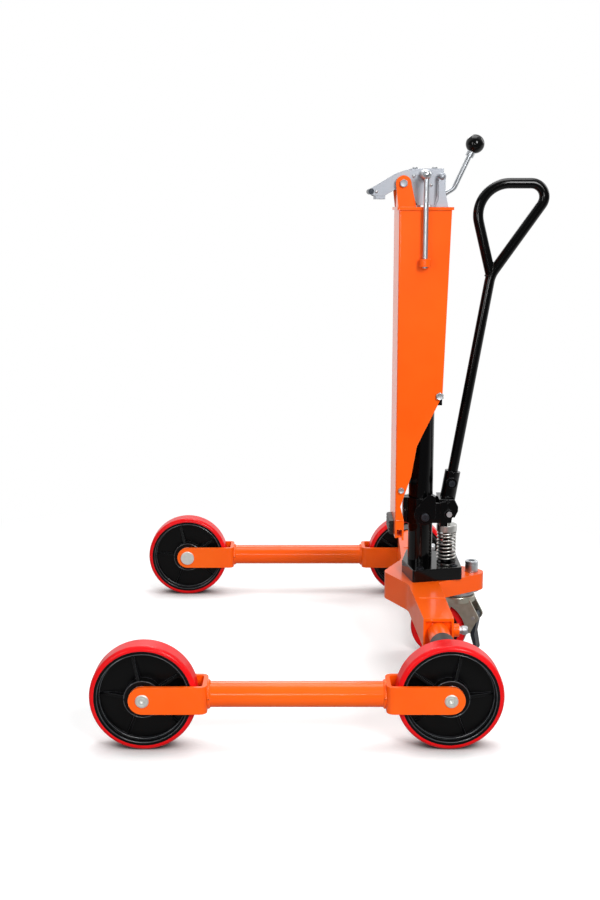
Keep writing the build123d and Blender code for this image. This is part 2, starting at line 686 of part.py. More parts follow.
def block_bolts():
    bolts = []
    for x, y in block_bolt_places():
        seat = (x, y, BLOCK_SEAT_Z)
        end = (x, y, FRAME_TOP_Z - 2 * FRAME_TOP_T)
        bolts.append(socket_screw(seat, end, BLOCK_BOLT_D, BLOCK_BOLT_HEAD_D, BLOCK_BOLT_HEAD_H))
    return Compound(bolts)


def release_valve():
    """Lowering valve: a hexagon-headed spindle in the right side face of the pump block."""
    spindle = rod(valve_point(PLAY - VALVE_L), valve_point(VALVE_NECK + MERGE), VALVE_D / 2)
    return spindle + hexagon(valve_point(VALVE_NECK), valve_point(VALVE_NECK + VALVE_HEAD_H), VALVE_HEAD_D)


def lift_cylinder():
    low = (COLUMN_X, 0, BLOCK_TOP_Z)
    top = (COLUMN_X, 0, COLUMN_TOP_Z)
    return tube(low, top, COLUMN_D / 2, (COLUMN_D - COLUMN_BORE) / 2)


def cylinder_gland():
    """Gland nut that guides the ram at the top of the cylinder."""
    top = (COLUMN_X, 0, COLUMN_TOP_Z + GLAND_H)
    low = (COLUMN_X, 0, COLUMN_TOP_Z - GLAND_DEPTH)
    gland = rod((COLUMN_X, 0, COLUMN_TOP_Z), top, COLUMN_D / 2) + rod(low, top, COLUMN_BORE / 2)
    gland = chamfer(gland.edges().filter_by(GeomType.CIRCLE).sort_by(Axis.Z)[-1], GLAND_CHAMFER)
    return gland - rod(low, top, RAM_D / 2 + SHAFT_GAP)


def ram():
    """Piston rod that carries the head plate, with its piston in the cylinder bore."""
    low = (COLUMN_X, 0, PISTON_Z)
    piston_top = (COLUMN_X, 0, PISTON_Z + PISTON_H)
    piston = rod(low, piston_top, COLUMN_BORE / 2 - SHAFT_GAP)
    groove_low = (COLUMN_X, 0, PISTON_Z + (PISTON_H - SEAL_W) / 2)
    groove_top = (COLUMN_X, 0, PISTON_Z + (PISTON_H + SEAL_W) / 2)
    piston -= tube(groove_low, groove_top, COLUMN_BORE / 2, SEAL_DEPTH)
    return piston + rod(low, (COLUMN_X, 0, HEAD_Z), RAM_D / 2)


def lever_collar():
    """Split collar clamped on the cylinder, with a trunnion on each side for the rocker."""
    low = (COLUMN_X, 0, COLLAR_Z)
    top = (COLUMN_X, 0, COLLAR_Z + COLLAR_H)
    collar = rod(low, top, COLLAR_D / 2)
    lip_x = COLUMN_X - COLLAR_D / 2
    lip_w = COLLAR_SLIT + 4 * COLLAR_LIP
    lip_box = Box(4 * COLLAR_LIP, lip_w, COLLAR_H, align=(Align.CENTER, Align.CENTER, Align.MIN))
    collar += Pos(lip_x + COLLAR_LIP, 0, COLLAR_Z) * lip_box
    slit = Box(COLLAR_D / 2, COLLAR_SLIT, COLLAR_H, align=(Align.CENTER, Align.CENTER, Align.MIN))
    collar -= Pos(lip_x, 0, COLLAR_Z) * slit
    collar -= rod(low, top, COLUMN_D / 2)
    for side in (-1, 1):
        root = (FULCRUM_X, side * (COLUMN_D / 2 + 2 * MERGE), FULCRUM_Z)
        end = (FULCRUM_X, side * (CHEEK_OUTER_Y + PLAY), FULCRUM_Z)
        collar += rod(root, end, TRUNNION_D / 2)
    bolt_x = lip_x - COLLAR_LIP / 2 + MERGE
    reach = lip_w / 2
    bolt_z = COLLAR_Z + COLLAR_H / 2
    return collar - rod((bolt_x, -reach, bolt_z), (bolt_x, reach, bolt_z), COLLAR_BOLT_D / 4)


def trunnion_caps():
    """Round-head screws that keep the rocker on its trunnions."""
    caps = []
    for side in (-1, 1):
        seat = (FULCRUM_X, side * (CHEEK_OUTER_Y + PLAY), FULCRUM_Z)
        top = (FULCRUM_X, side * (CHEEK_OUTER_Y + PLAY + TRUNNION_HEAD_H), FULCRUM_Z)
        cap = rod(seat, top, TRUNNION_HEAD_D / 2)
        rim = cap.edges().filter_by(GeomType.CIRCLE).sort_by(Axis.Y)[-1 if side > 0 else 0]
        cap = fillet(rim, TRUNNION_HEAD_R)
        inner = (FULCRUM_X, side * (CHEEK_OUTER_Y + PLAY + TRUNNION_HEAD_H / 2), FULCRUM_Z)
        caps.append(cap - hexagon(inner, top, TRUNNION_KEY_D))
    return Compound(caps)


def pump_piston():
    """Turned plunger with the spring cap and the neck that the roller pushes."""
    plunger = rod((PUMP_X, 0, PLUNGER_Z), (PUMP_X, 0, CAP_Z + MERGE), PLUNGER_D / 2)
    cap = rod((PUMP_X, 0, CAP_Z), (PUMP_X, 0, CAP_Z + CAP_H), CAP_D / 2)
    cap = fillet(cap.edges().filter_by(GeomType.CIRCLE), CAP_EDGE_R)
    neck_top = ROLLER_Z - ROLLER_D / 2 - PLAY
    neck = rod((PUMP_X, 0, CAP_Z + CAP_H - MERGE), (PUMP_X, 0, neck_top), NECK_D / 2)
    return plunger + cap + neck


def biarc(start, way_in, end, way_out):
    """Two tangent arcs from start to end with the given directions."""
    chord = end - start
    both = way_in + way_out
    spread = 2 * (1 - way_in.dot(way_out))
    run = (-chord.dot(both) + math.sqrt(chord.dot(both) ** 2 + spread * chord.dot(chord))) / spread
    first = start + way_in * run
    second = end - way_out * run
    middle = (first + second) * 0.5
    way_mid = (second - first).normalized()
    return [TangentArc(start, middle, tangent=way_in), TangentArc(middle, end, tangent=way_mid)]


def spring_point(turns, radius, low, pitch):
    angle = 2 * math.pi * turns
    return Vector(PUMP_X + radius * math.cos(angle), radius * math.sin(angle), low + pitch * turns)


def spring_way(turns, radius, pitch):
    angle = 2 * math.pi * turns
    across = 2 * math.pi * radius
    return Vector(-across * math.sin(angle), across * math.cos(angle), pitch).normalized()


def pump_spring():
    """Return spring of the pump: one wire wound as a helix, with a short straight end at each side."""
    wire_r = SPRING_WIRE_D / 2
    radius = SPRING_D / 2 - wire_r
    low = BLOCK_TOP_Z + wire_r + PLAY
    high = CAP_Z - wire_r - PLAY
    pitch = (high - low) / SPRING_TURNS
    halves = 2 * SPRING_TURNS
    start_way = spring_way(0, radius, pitch)
    start = spring_point(0, radius, low, pitch)
    lead = start - start_way * SPRING_WIRE_D
    edges = [Line(lead, start)]
    for i in range(halves):
        a = i / 2
        b = (i + 1) / 2
        edges += biarc(
            spring_point(a, radius, low, pitch),
            spring_way(a, radius, pitch),
            spring_point(b, radius, low, pitch),
            spring_way(b, radius, pitch),
        )
    last = spring_point(SPRING_TURNS, radius, low, pitch)
    last_way = spring_way(SPRING_TURNS, radius, pitch)
    edges.append(Line(last, last + last_way * SPRING_WIRE_D))
    path = Wire(edges)
    gap = min(
        (spring_point(t / 24, radius, low, pitch) - spring_point(t / 24 + 1, radius, low, pitch)).length
        for t in range(24 * (SPRING_TURNS - 1))
    )
    print("spring: least gap between turns", round(gap - SPRING_WIRE_D, 2), "mm")
    return sweep(Plane(origin=lead, z_dir=start_way) * Circle(wire_r), path=path)


def egg_face(low, low_r, top, top_r):
    """Outline round a large and a small circle, with the straight sides that touch both."""
    run = math.hypot(top[0] - low[0], top[1] - low[1])
    lean = math.atan2(top[1] - low[1], top[0] - low[0])
    spread = math.acos((low_r - top_r) / run)
    sides = []
    for turn in (lean + spread, lean - spread):
        way = (math.cos(turn), math.sin(turn))
        sides.append([(x + r * way[0], z + r * way[1]) for (x, z), r in ((low, low_r), (top, top_r))])
    middle = polygon(sides[0][0], sides[0][1], sides[1][1], sides[1][0])
    return middle + disc(*low, low_r) + disc(*top, top_r)


def rocker():
    """Pump rocker: egg-shaped cheeks on the trunnions, lugged bars, a cross block and the handle socket."""
    rear_x = PUMP_X + ROCKER_TAIL
    high = ROCKER_LOW_Z + ROCKER_H
    corner = ROCKER_CORNER
    egg_low = (FULCRUM_X, FULCRUM_Z + EGG_RISE)
    egg_top = (FULCRUM_X + EGG_TOP_LEAN, FULCRUM_Z + EGG_TOP_RISE)
    egg = egg_face(egg_low, EGG_R, egg_top, EGG_TOP_R)
    hole = disc(FULCRUM_X, FULCRUM_Z, TRUNNION_D / 2 + SHAFT_GAP)
    cheek = slab(egg - hole, CHEEK_INNER_Y, CHEEK_OUTER_Y)
    bar = polygon(
        (FULCRUM_X + EGG_TOP_LEAN, ROCKER_LOW_Z + corner),
        (rear_x - 2 * corner, ROCKER_LOW_Z + corner),
        (rear_x - corner, high - corner),
        (FULCRUM_X + EGG_TOP_LEAN, high - corner),
    )
    cheek += slab(bar, BAR_INNER_Y, BAR_OUTER_Y)
    groove_x = PUMP_X - ROCKER_GROOVE
    front_lug = polygon(
        (LUG_ROOT_X, ROCKER_LOW_Z),
        (groove_x - ROCKER_GROOVE, ROCKER_LOW_Z),
        (groove_x - ROCKER_GROOVE / 2, ROCKER_LOW_Z + corner),
        (groove_x - ROCKER_GROOVE / 2, high),
        (groove_x - ROCKER_GROOVE, high),
        (LUG_ROOT_X, high - corner),
    )
    rear_lug = polygon(
        (groove_x + ROCKER_GROOVE / 2, ROLLER_Z - corner),
        (rear_x - corner, ROLLER_Z - corner),
        (rear_x, ROLLER_Z + corner),
        (rear_x, high - 2 * corner),
        (rear_x - corner, high),
        (groove_x + ROCKER_GROOVE / 2, high),
    )
    cheek += slab(front_lug + rear_lug, BAR_INNER_Y, BAR_OUTER_Y + LUG_PROUD)
    cheek += slab(disc(PUMP_X, ROLLER_Z, PIN_BOSS_D / 2), BAR_INNER_Y, CHEEK_OUTER_Y)
    lever = cheek + mirror(cheek, about=Plane.XZ)
    web_low = ROLLER_Z + ROLLER_D / 2 + ROLLER_ROOM
    web_front = COLUMN_X + COLLAR_D / 2 + ROLLER_ROOM
    web_rear = rear_x - corner
    web = polygon(
        (web_front, web_low), (web_rear, web_low), (web_rear, web_low + WEB_H), (web_front, web_low + WEB_H)
    )
    lever += slab(web, -BAR_INNER_Y - MERGE, BAR_INNER_Y + MERGE)
    low = (line_of_centre(SOCKET_LOW_Z), 0, SOCKET_LOW_Z)
    top = (line_of_centre(SOCKET_TOP_Z), 0, SOCKET_TOP_Z)
    lever += rod(low, top, SOCKET_D / 2)
    boss_x = line_of_centre(SOCKET_BOLT_Z)
    boss_y = SOCKET_D / 2 + SOCKET_BOSS_L
    lever += rod((boss_x, -boss_y, SOCKET_BOLT_Z), (boss_x, boss_y, SOCKET_BOLT_Z), SOCKET_BOSS_D / 2)
    bore_low = SOCKET_LOW_Z + SOCKET_STOP
    lever -= rod((line_of_centre(bore_low), 0, bore_low), top, HANDLE_D / 2)
    lever -= rod((boss_x, -boss_y, SOCKET_BOLT_Z), (boss_x, boss_y, SOCKET_BOLT_Z), SOCKET_BOLT_D / 2)
    pin_low = (PUMP_X, -CHEEK_OUTER_Y, ROLLER_Z)
    pin_high = (PUMP_X, CHEEK_OUTER_Y, ROLLER_Z)
    return lever - rod(pin_low, pin_high, ROLLER_PIN_D / 2)


def socket_bolt():
    x = line_of_centre(SOCKET_BOLT_Z)
    boss_y = SOCKET_D / 2 + SOCKET_BOSS_L
    seat = (x, -boss_y, SOCKET_BOLT_Z)
    end = (x, boss_y + SOCKET_NUT_H + SOCKET_BOLT_PROUD, SOCKET_BOLT_Z)
    screw = socket_screw(seat, end, SOCKET_BOLT_D, SOCKET_HEAD_D, SOCKET_HEAD_H)
    nut = hexagon((x, boss_y, SOCKET_BOLT_Z), (x, boss_y + SOCKET_NUT_H, SOCKET_BOLT_Z), SOCKET_NUT_D)
    nut -= rod(seat, end, SOCKET_BOLT_D / 2)
    return Compound([screw, nut])


def roller_pin():
    """Steel pin through the rocker, with the roller that pushes the plunger."""
    reach = CHEEK_OUTER_Y + PIN_PROUD
    pin = rod((PUMP_X, -reach, ROLLER_Z), (PUMP_X, reach, ROLLER_Z), ROLLER_PIN_D / 2)
    roller_l = BAR_INNER_Y - SIDE_PLAY
    return pin + rod((PUMP_X, -roller_l, ROLLER_Z), (PUMP_X, roller_l, ROLLER_Z), ROLLER_D / 2)


def rounded_path(points, radii):
    """Edges of an open path with a bend of its own radius at each inner corner."""
    spots = [Vector(*point) for point in points]
    edges = []
    start = spots[0]
    for before, corner, after, radius in zip(spots, spots[1:], spots[2:], radii):
        way_in = (corner - before).normalized()
        way_out = (after - corner).normalized()
        run = radius * math.tan(math.acos(way_in.dot(way_out)) / 2)
        bend_start = corner - way_in * run
        bend_end = corner + way_out * run
        edges.append(Line(start, bend_start))
        edges.append(TangentArc(bend_start, bend_end, tangent=way_in))
        start = bend_end
    edges.append(Line(start, spots[-1]))
    return edges


def bent_bar(points, radii, diameter):
    path = Wire(rounded_path(points, radii))
    way = Vector(*points[1]) - Vector(*points[0])
    return sweep(Plane(origin=points[0], z_dir=way) * Circle(diameter / 2), path=path)


def pump_handle():
    """Bent tube handle: a leaning stem that turns into a closed loop and is welded back to itself."""
    foot_z = SOCKET_LOW_Z + SOCKET_STOP
    join = (JOIN_X, 0, JOIN_Z)
    middle = ((LOOP_FRONT_X + LOOP_REAR_X) / 2 + LOOP_REAR_R, 0, LOOP_TOP_Z)
    stem = [(line_of_centre(foot_z), 0, foot_z), join, (LOOP_REAR_X, 0, LOOP_TOP_Z), middle]
    handle = bent_bar(stem, (JOIN_R, LOOP_REAR_R), HANDLE_D)
    handle += bent_bar([middle, (LOOP_FRONT_X, 0, LOOP_TOP_Z), join], (LOOP_FRONT_R,), HANDLE_D)
    bolt_x = line_of_centre(SOCKET_BOLT_Z)
    hole = rod((bolt_x, -HANDLE_D, SOCKET_BOLT_Z), (bolt_x, HANDLE_D, SOCKET_BOLT_Z), SOCKET_BOLT_D / 2)
    return handle - hole


def shell_side():
    """X-Z outline of a side plate of the carriage."""
    outline = polygon(
        (SHELL_FRONT_X, SHELL_LOW_Z),
        (SHELL_FRONT_X, HEAD_Z),
        (SHELL_REAR_X, HEAD_Z),
        (SHELL_ELBOW_X, SHELL_ELBOW_Z),
        (SHELL_WAIST_X, SHELL_WAIST_Z),
        (SHELL_STEP_X, SHELL_STEP_Z),
        (SHELL_NECK_X, SHELL_NECK_Z),
        (SHELL_FOOT_X, SHELL_FOOT_Z),
        (SHELL_FOOT_X, SHELL_LOW_Z),
    )
    waist = outline.vertices().sort_by_distance((SHELL_WAIST_X, SHELL_WAIST_Z))[0]
    return fillet(waist, SHELL_WAIST_R)


def carriage_shell():
    """Folded channel: front plate and two side plates, with the load shelf and the rod guides."""
    plate = slab(shell_side(), SHELL_HALF_W - SHELL_T, SHELL_HALF_W)
    window_l = SHELF_DEPTH - 2 * SHELL_T
    window_z = SHELL_LOW_Z + FOOT_WINDOW_H / 2
    window = Pos(SHELL_FRONT_X + SHELF_DEPTH / 2, window_z) * Rectangle(window_l, FOOT_WINDOW_H)
    plate -= slab(window, SHELL_HALF_W - SHELL_T, SHELL_HALF_W)
    shell = plate + mirror(plate, about=Plane.XZ)
    height = HEAD_Z - SHELL_LOW_Z
    corner = (Align.MIN, Align.CENTER, Align.MIN)
    shell += Pos(SHELL_FRONT_X, 0, SHELL_LOW_Z) * Box(SHELL_T, 2 * SHELL_HALF_W, height, align=corner)
    bends = shell.edges().filter_by(Axis.Z).group_by(Axis.X)[0]
    shell = fillet(bends, SHELL_BEND_R)
    shelf_w = 2 * (SHELL_HALF_W - SHELL_T)
    shell += Pos(SHELL_FRONT_X, 0, SHELL_LOW_Z) * Box(SHELF_DEPTH, shelf_w, SHELL_T, align=corner)
    lip_x = SHELL_FRONT_X + SHELF_DEPTH - SHELL_T
    lip_h = SHELF_LIP_H + SHELF_LIP_DROP
    shell += Pos(lip_x, 0, SHELL_LOW_Z - SHELF_LIP_DROP) * Box(SHELL_T, 2 * SHELL_HALF_W, lip_h, align=corner)
    guide_top = LINK_GUIDE_Z + LINK_GUIDE_H
    neck_w = LINK_GUIDE_D / 2
    for side in (-1, 1):
        y = side * LINK_Y
        ring = rod((LINK_X, y, LINK_GUIDE_Z), (LINK_X, y, guide_top), LINK_GUIDE_D / 2)
        neck_l = LINK_Y - SHELL_HALF_W + SHELL_T / 2
        neck = Box(neck_w, neck_l, LINK_GUIDE_H)
        ring += Pos(LINK_X, y - side * neck_l / 2, LINK_GUIDE_Z + LINK_GUIDE_H / 2) * neck
        shell += ring
        shell -= rod((LINK_X, y, LINK_GUIDE_Z), (LINK_X, y, guide_top), LINK_D / 2 + SHAFT_GAP)
    for x, z, bolt_d in ((GUIDE_BOLT_X, UPPER_GUIDE_Z, GUIDE_BOLT_D), (TIE_X, TIE_Z, TIE_BOLT_D)):
        shell -= rod((x, -SHELL_HALF_W, z), (x, SHELL_HALF_W, z), bolt_d / 2)
    return shell


def head_plate():
    """Plate on top of the carriage, with the jaw lugs, the upstand and the lever stud welded to it."""
    front = SHELL_FRONT_X - HEAD_OVERHANG
    length = SHELL_REAR_X + HEAD_OVERHANG - front
    half_w = SHELL_HALF_W + HEAD_OVERHANG
    corner = (Align.MIN, Align.CENTER, Align.MIN)
    head = Pos(front, 0, HEAD_Z) * Box(length, 2 * half_w, HEAD_T, align=corner)
    head = fillet(head.edges().filter_by(Axis.Z), HEAD_OVERHANG)
    head += Pos(SHELL_FRONT_X, 0, HEAD_Z) * Box(SHELL_T, 2 * UPSTAND_HALF_W, UPSTAND_H, align=corner)
    lug = polygon(
        (LUG_BASE_FRONT_X, HEAD_Z + MERGE),
        (PIVOT_X - LUG_R, PIVOT_Z),
        (PIVOT_X + LUG_R, PIVOT_Z),
        (LUG_BASE_REAR_X, HEAD_Z + MERGE),
    )
    lug += disc(PIVOT_X, PIVOT_Z, LUG_R)
    lug -= disc(PIVOT_X, PIVOT_Z, PIVOT_D / 2)
    slot_l = SLOT_REAR_X - SLOT_FRONT_X
    slot_w = JAW_PLATE_T + 2 * SIDE_PLAY
    slot = Box(slot_l, slot_w, 3 * HEAD_T, align=(Align.MIN, Align.CENTER, Align.CENTER))
    for side in (-1, 1):
        ys = sorted((side * LUG_INNER_Y, side * (LUG_INNER_Y + LUG_T)))
        head += slab(lug, *ys)
        head -= Pos(SLOT_FRONT_X, side * (JAW_INNER_Y + JAW_PLATE_T / 2), HEAD_Z) * slot
    stud_root = LEVER_Y + LEVER_HUB_L / 2 + SIDE_PLAY
    lug_h = LEVER_Z - HEAD_Z
    lever_lug = Pos(LEVER_X, HEAD_Z + lug_h / 2) * Rectangle(LEVER_HUB_D, lug_h)
    lever_lug += disc(LEVER_X, LEVER_Z, LEVER_HUB_D / 2)
    lever_lug &= Pos(LEVER_X, LEVER_Z) * Rectangle(LEVER_HUB_D, 2 * (LEVER_Z - HEAD_TOP_Z + MERGE))
    head += slab(lever_lug, stud_root, stud_root + LEVER_LUG_T)
    stud_end = LEVER_Y - LEVER_HUB_L / 2
    return head + rod((LEVER_X, stud_root + MERGE, LEVER_Z), (LEVER_X, stud_end, LEVER_Z), LEVER_PIN_D / 2)


def guide_block(height, front_x, rear_x):
    """Nylon block between the side plates, hollowed to half of the cylinder."""
    half_w = SHELL_HALF_W - SHELL_T
    length = rear_x - front_x
    block = Pos(front_x + length / 2, 0, height) * Box(length, 2 * half_w, GUIDE_H)
    low = (COLUMN_X, 0, height - GUIDE_H)
    return block - rod(low, (COLUMN_X, 0, height + GUIDE_H), COLUMN_D / 2 + PLAY)


def upper_guide():
    block = guide_block(UPPER_GUIDE_Z, COLUMN_X + GUIDE_SETBACK, SHELL_ELBOW_X)
    for side in (-1, 1):
        start = (GUIDE_BOLT_X, side * SHELL_HALF_W, UPPER_GUIDE_Z)
        end = (GUIDE_BOLT_X, side * (SHELL_HALF_W - GUIDE_BOLT_L), UPPER_GUIDE_Z)
        block -= rod(start, end, GUIDE_BOLT_D / 2)
    return block


def lower_guide():
    return guide_block(LOWER_GUIDE_Z, SHELL_FRONT_X + SHELL_T, SHELL_WAIST_X - GUIDE_LAP)


def guide_bolts():
    bolts = []
    for side in (-1, 1):
        face = (GUIDE_BOLT_X, side * SHELL_HALF_W, UPPER_GUIDE_Z)
        top = (GUIDE_BOLT_X, side * (SHELL_HALF_W + HEX_HEAD_H), UPPER_GUIDE_Z)
        end = (GUIDE_BOLT_X, side * (SHELL_HALF_W - GUIDE_BOLT_L), UPPER_GUIDE_Z)
        bolts.append(hexagon(face, top, HEX_HEAD_D) + rod(face, end, GUIDE_BOLT_D / 2))
    return Compound(bolts)


def lower_tie():
    """Spacer tube between the side plates with a through bolt."""
    inner = SHELL_HALF_W - SHELL_T
    reach = SHELL_HALF_W + HEX_HEAD_H
    tie = rod((TIE_X, -inner, TIE_Z), (TIE_X, inner, TIE_Z), TIE_D / 2)
    tie += rod((TIE_X, -SHELL_HALF_W, TIE_Z), (TIE_X, SHELL_HALF_W, TIE_Z), TIE_BOLT_D / 2)
    for side in (-1, 1):
        face = (TIE_X, side * SHELL_HALF_W, TIE_Z)
        tie += hexagon(face, (TIE_X, side * reach, TIE_Z), TIE_BOLT_HEAD_D)
    return tie


def drum_pad():
    """Rubber pad on the foot of the carriage, where the side of the load rests."""
    pad = Pos(SHELL_FRONT_X - PAD_T, 0, PAD_Z) * Box(
        PAD_T, 2 * PAD_HALF_W, PAD_H, align=(Align.MIN, Align.CENTER, Align.MIN)
    )
    return fillet(pad.edges().group_by(Axis.X)[0], PAD_EDGE_R)


def jaw_outline():
    """X-Z outline of a jaw plate: a sloping arm, a flat top and the tail behind the pivot."""
    outline = polygon(
        (JAW_NOSE_X - JAW_NOSE_R * 0.5, JAW_NOSE_Z + JAW_NOSE_R * 0.87),
        (PIVOT_X - 10, JAW_TOP_Z - 8),
        (PIVOT_X + 5, JAW_TOP_Z - 3),
        (PIVOT_X + 43, JAW_TOP_Z),
        (JAW_REAR_X, JAW_TOP_Z),
        (JAW_REAR_X, JAW_TOP_Z - JAW_BEAK_H),
        (JAW_TAIL_REAR_X + JAW_TAIL_SWELL, JAW_TOP_Z - JAW_BEAK_H - 2 * JAW_TAIL_SWELL),
        (JAW_TAIL_REAR_X + JAW_TAIL_SWELL, PIVOT_Z - 2 * LUG_R + JAW_BEAK_H),
        (JAW_TAIL_REAR_X, JAW_TAIL_Z),
        (JAW_TAIL_FRONT_X, JAW_TAIL_Z),
        (PIVOT_X + LUG_R, PIVOT_Z - LUG_R),
        (PIVOT_X - LUG_R, PIVOT_Z - 12),
        (JAW_NOSE_X + 17, JAW_NOSE_Z - JAW_NOSE_R - 1),
        (JAW_NOSE_X, JAW_NOSE_Z - JAW_NOSE_R),
    )
    return outline + disc(JAW_NOSE_X, JAW_NOSE_Z, JAW_NOSE_R)


def jaw_plates():
    """The two jaw plates, each with a stud that drives a link rod."""
    face = jaw_outline() - disc(PIVOT_X, PIVOT_Z, PIVOT_D / 2 + SHAFT_GAP)
    face -= disc(nose_bar_x(), JAW_NOSE_Z, NOSE_BAR_D / 2)
    plates = []
    for side in (-1, 1):
        ys = sorted((side * JAW_INNER_Y, side * JAW_OUTER_Y))
        plate = slab(face, *ys)
        shoulder = side * (JAW_OUTER_Y + STUD_SHOULDER_L)
        flat = side * (LINK_Y - LINK_FLAT - PLAY)
        plate += rod((LINK_X, side * JAW_INNER_Y, LINK_Z), (LINK_X, flat, LINK_Z), STUD_D / 2)
        plate += rod((LINK_X, side * JAW_INNER_Y, LINK_Z), (LINK_X, shoulder, LINK_Z), STUD_SHOULDER_D / 2)
        plates.append(plate)
    return Compound(plates)


def nose_bar_x():
    return JAW_NOSE_X - JAW_NOSE_R


def jaw_bolt_places():
    return (JAW_BOLT_FRONT_X, JAW_BOLT_REAR_X)


def jaw_bridge():
    """Steel block between the jaw plates, with two bolts down through it."""
    length = BRIDGE_REAR_X - BRIDGE_FRONT_X
    block = Pos(BRIDGE_FRONT_X, 0, JAW_TOP_Z) * Box(
        length, 2 * JAW_INNER_Y, BRIDGE_H, align=(Align.MIN, Align.CENTER, Align.MAX)
    )
    for x in jaw_bolt_places():
        block -= rod((x, 0, JAW_TOP_Z - BRIDGE_H), (x, 0, JAW_TOP_Z), JAW_BOLT_D / 2)
    return block


def jaw_bolts():
    bolts = []
    for x in jaw_bolt_places():
        seat = (x, 0, JAW_TOP_Z)
        head = hexagon(seat, (x, 0, JAW_TOP_Z + JAW_BOLT_HEAD_H), JAW_BOLT_HEAD_D)
        bolts.append(head + rod(seat, (x, 0, JAW_TOP_Z - BRIDGE_H), JAW_BOLT_D / 2))
    return Compound(bolts)


def nose_bar():
    """Dark cross bar at the tip of the jaw."""
    x = nose_bar_x()
    return rod((x, -JAW_OUTER_Y, JAW_NOSE_Z), (x, JAW_OUTER_Y, JAW_NOSE_Z), NOSE_BAR_D / 2)


def grip_pad():
    """Serrated foot under the nose, which bears on the rim of the load and ties the plates."""
    top = JAW_NOSE_Z - JAW_NOSE_R
    corner = (Align.MIN, Align.CENTER, Align.MAX)
    pad = Pos(JAW_NOSE_X, 0, top) * Box(GRIP_L, 2 * JAW_OUTER_Y, GRIP_H, align=corner)
    tie = (Align.MIN, Align.CENTER, Align.MIN)
    pad += Pos(JAW_NOSE_X, 0, top - MERGE) * Box(GRIP_L, 2 * JAW_INNER_Y, JAW_NOSE_R, align=tie)
    tooth = Rot(0, 45, 0) * Box(GRIP_TOOTH, 3 * JAW_OUTER_Y, GRIP_TOOTH)
    for i in range(GRIP_TEETH):
        pad -= Pos(JAW_NOSE_X + GRIP_L * (i + 0.5) / GRIP_TEETH, 0, top - GRIP_H) * tooth
    below = slab(jaw_outline(), JAW_INNER_Y, JAW_OUTER_Y)
    return pad - below - mirror(below, about=Plane.XZ)


def pivot_bolt():
    reach = LUG_INNER_Y + LUG_T
    bolt = rod((PIVOT_X, -reach, PIVOT_Z), (PIVOT_X, reach + HEX_HEAD_H + PIVOT_PROUD, PIVOT_Z), PIVOT_D / 2)
    bolt += hexagon((PIVOT_X, -reach - HEX_HEAD_H, PIVOT_Z), (PIVOT_X, -reach, PIVOT_Z), HEX_HEAD_D)
    return bolt + hexagon((PIVOT_X, reach, PIVOT_Z), (PIVOT_X, reach + HEX_HEAD_H, PIVOT_Z), HEX_HEAD_D)


def link_rods():
    """Two chromed rods with a flatted ball on top, which slide in the guides on the carriage."""
    rods = []
    for side in (-1, 1):
        y = side * LINK_Y
        ball = Pos(LINK_X, y, LINK_Z) * Sphere(LINK_BALL_D / 2)
        shaft = rod((LINK_X, y, LINK_LOW_Z), (LINK_X, y, LINK_Z), LINK_D / 2)
        face = side * (LINK_Y - LINK_FLAT)
        flat = Box(2 * LINK_BALL_D, LINK_BALL_D, 2 * LINK_BALL_D)
        rods.append(ball + shaft - Pos(LINK_X, face - side * LINK_BALL_D / 2, LINK_Z) * flat)
    return Compound(rods)


def stop_pins():
    """Ball-headed stop blades that stand on the head plate."""
    neck = STOP_NECK_W / 2
    foot = STOP_FOOT_W / 2
    flare_z = HEAD_TOP_Z + STOP_FLARE_H
    face = polygon(
        (STOP_PIN_X - foot, HEAD_TOP_Z),
        (STOP_PIN_X + foot, HEAD_TOP_Z),
        (STOP_PIN_X + neck, flare_z),
        (STOP_PIN_X + neck, STOP_BALL_Z),
        (STOP_PIN_X - neck, STOP_BALL_Z),
        (STOP_PIN_X - neck, HEAD_TOP_Z + STOP_FLARE_H / 2),
    )
    pins = []
    for side in (-1, 1):
        y = side * STOP_PIN_Y
        blade = slab(face, y - STOP_BLADE_T / 2, y + STOP_BLADE_T / 2)
        pins.append(blade + Pos(STOP_PIN_X, y, STOP_BALL_Z) * Sphere(STOP_BALL_D / 2))
    return Compound(pins)


def knob_way():
    return (Vector(KNOB_X, LEVER_Y, KNOB_Z) - Vector(LEVER_BEND_X, LEVER_Y, LEVER_BEND_Z)).normalized()


def lock_lever():
    """Hub on the head's stud and a bent chromed rod up to the knob."""
    low = (LEVER_X, LEVER_Y - LEVER_HUB_L / 2, LEVER_Z)
    high = (LEVER_X, LEVER_Y + LEVER_HUB_L / 2, LEVER_Z)
    points = [
        (LEVER_X, LEVER_Y, LEVER_Z),
        (LEVER_BEND_X, LEVER_Y, LEVER_BEND_Z),
        (KNOB_X, LEVER_Y, KNOB_Z),
    ]
    lever = rod(low, high, LEVER_HUB_D / 2) + bent_bar(points, (LEVER_BEND_R,), LEVER_ROD_D)
    bore_low = (LEVER_X, LEVER_Y - LEVER_ROD_D, LEVER_Z)
    bore_high = (LEVER_X, LEVER_Y + LEVER_ROD_D, LEVER_Z)
    return lever - rod(bore_low, bore_high, LEVER_PIN_D / 2 + SHAFT_GAP)


def knob_nut():
    """Collar nut under the knob."""
    knob = Vector(KNOB_X, LEVER_Y, KNOB_Z)
    low = knob - knob_way() * (KNOB_D / 2 + KNOB_NUT_H)
    nut = rod(low, knob, KNOB_NUT_D / 2) - rod(low, knob, LEVER_ROD_D / 2)
    return nut - Pos(KNOB_X, LEVER_Y, KNOB_Z) * Sphere(KNOB_D / 2)


def ball_knob():
    knob = Vector(KNOB_X, LEVER_Y, KNOB_Z)
    ball = Pos(KNOB_X, LEVER_Y, KNOB_Z) * Sphere(KNOB_D / 2)
    return ball - rod(knob - knob_way() * KNOB_D, knob, LEVER_ROD_D / 2)


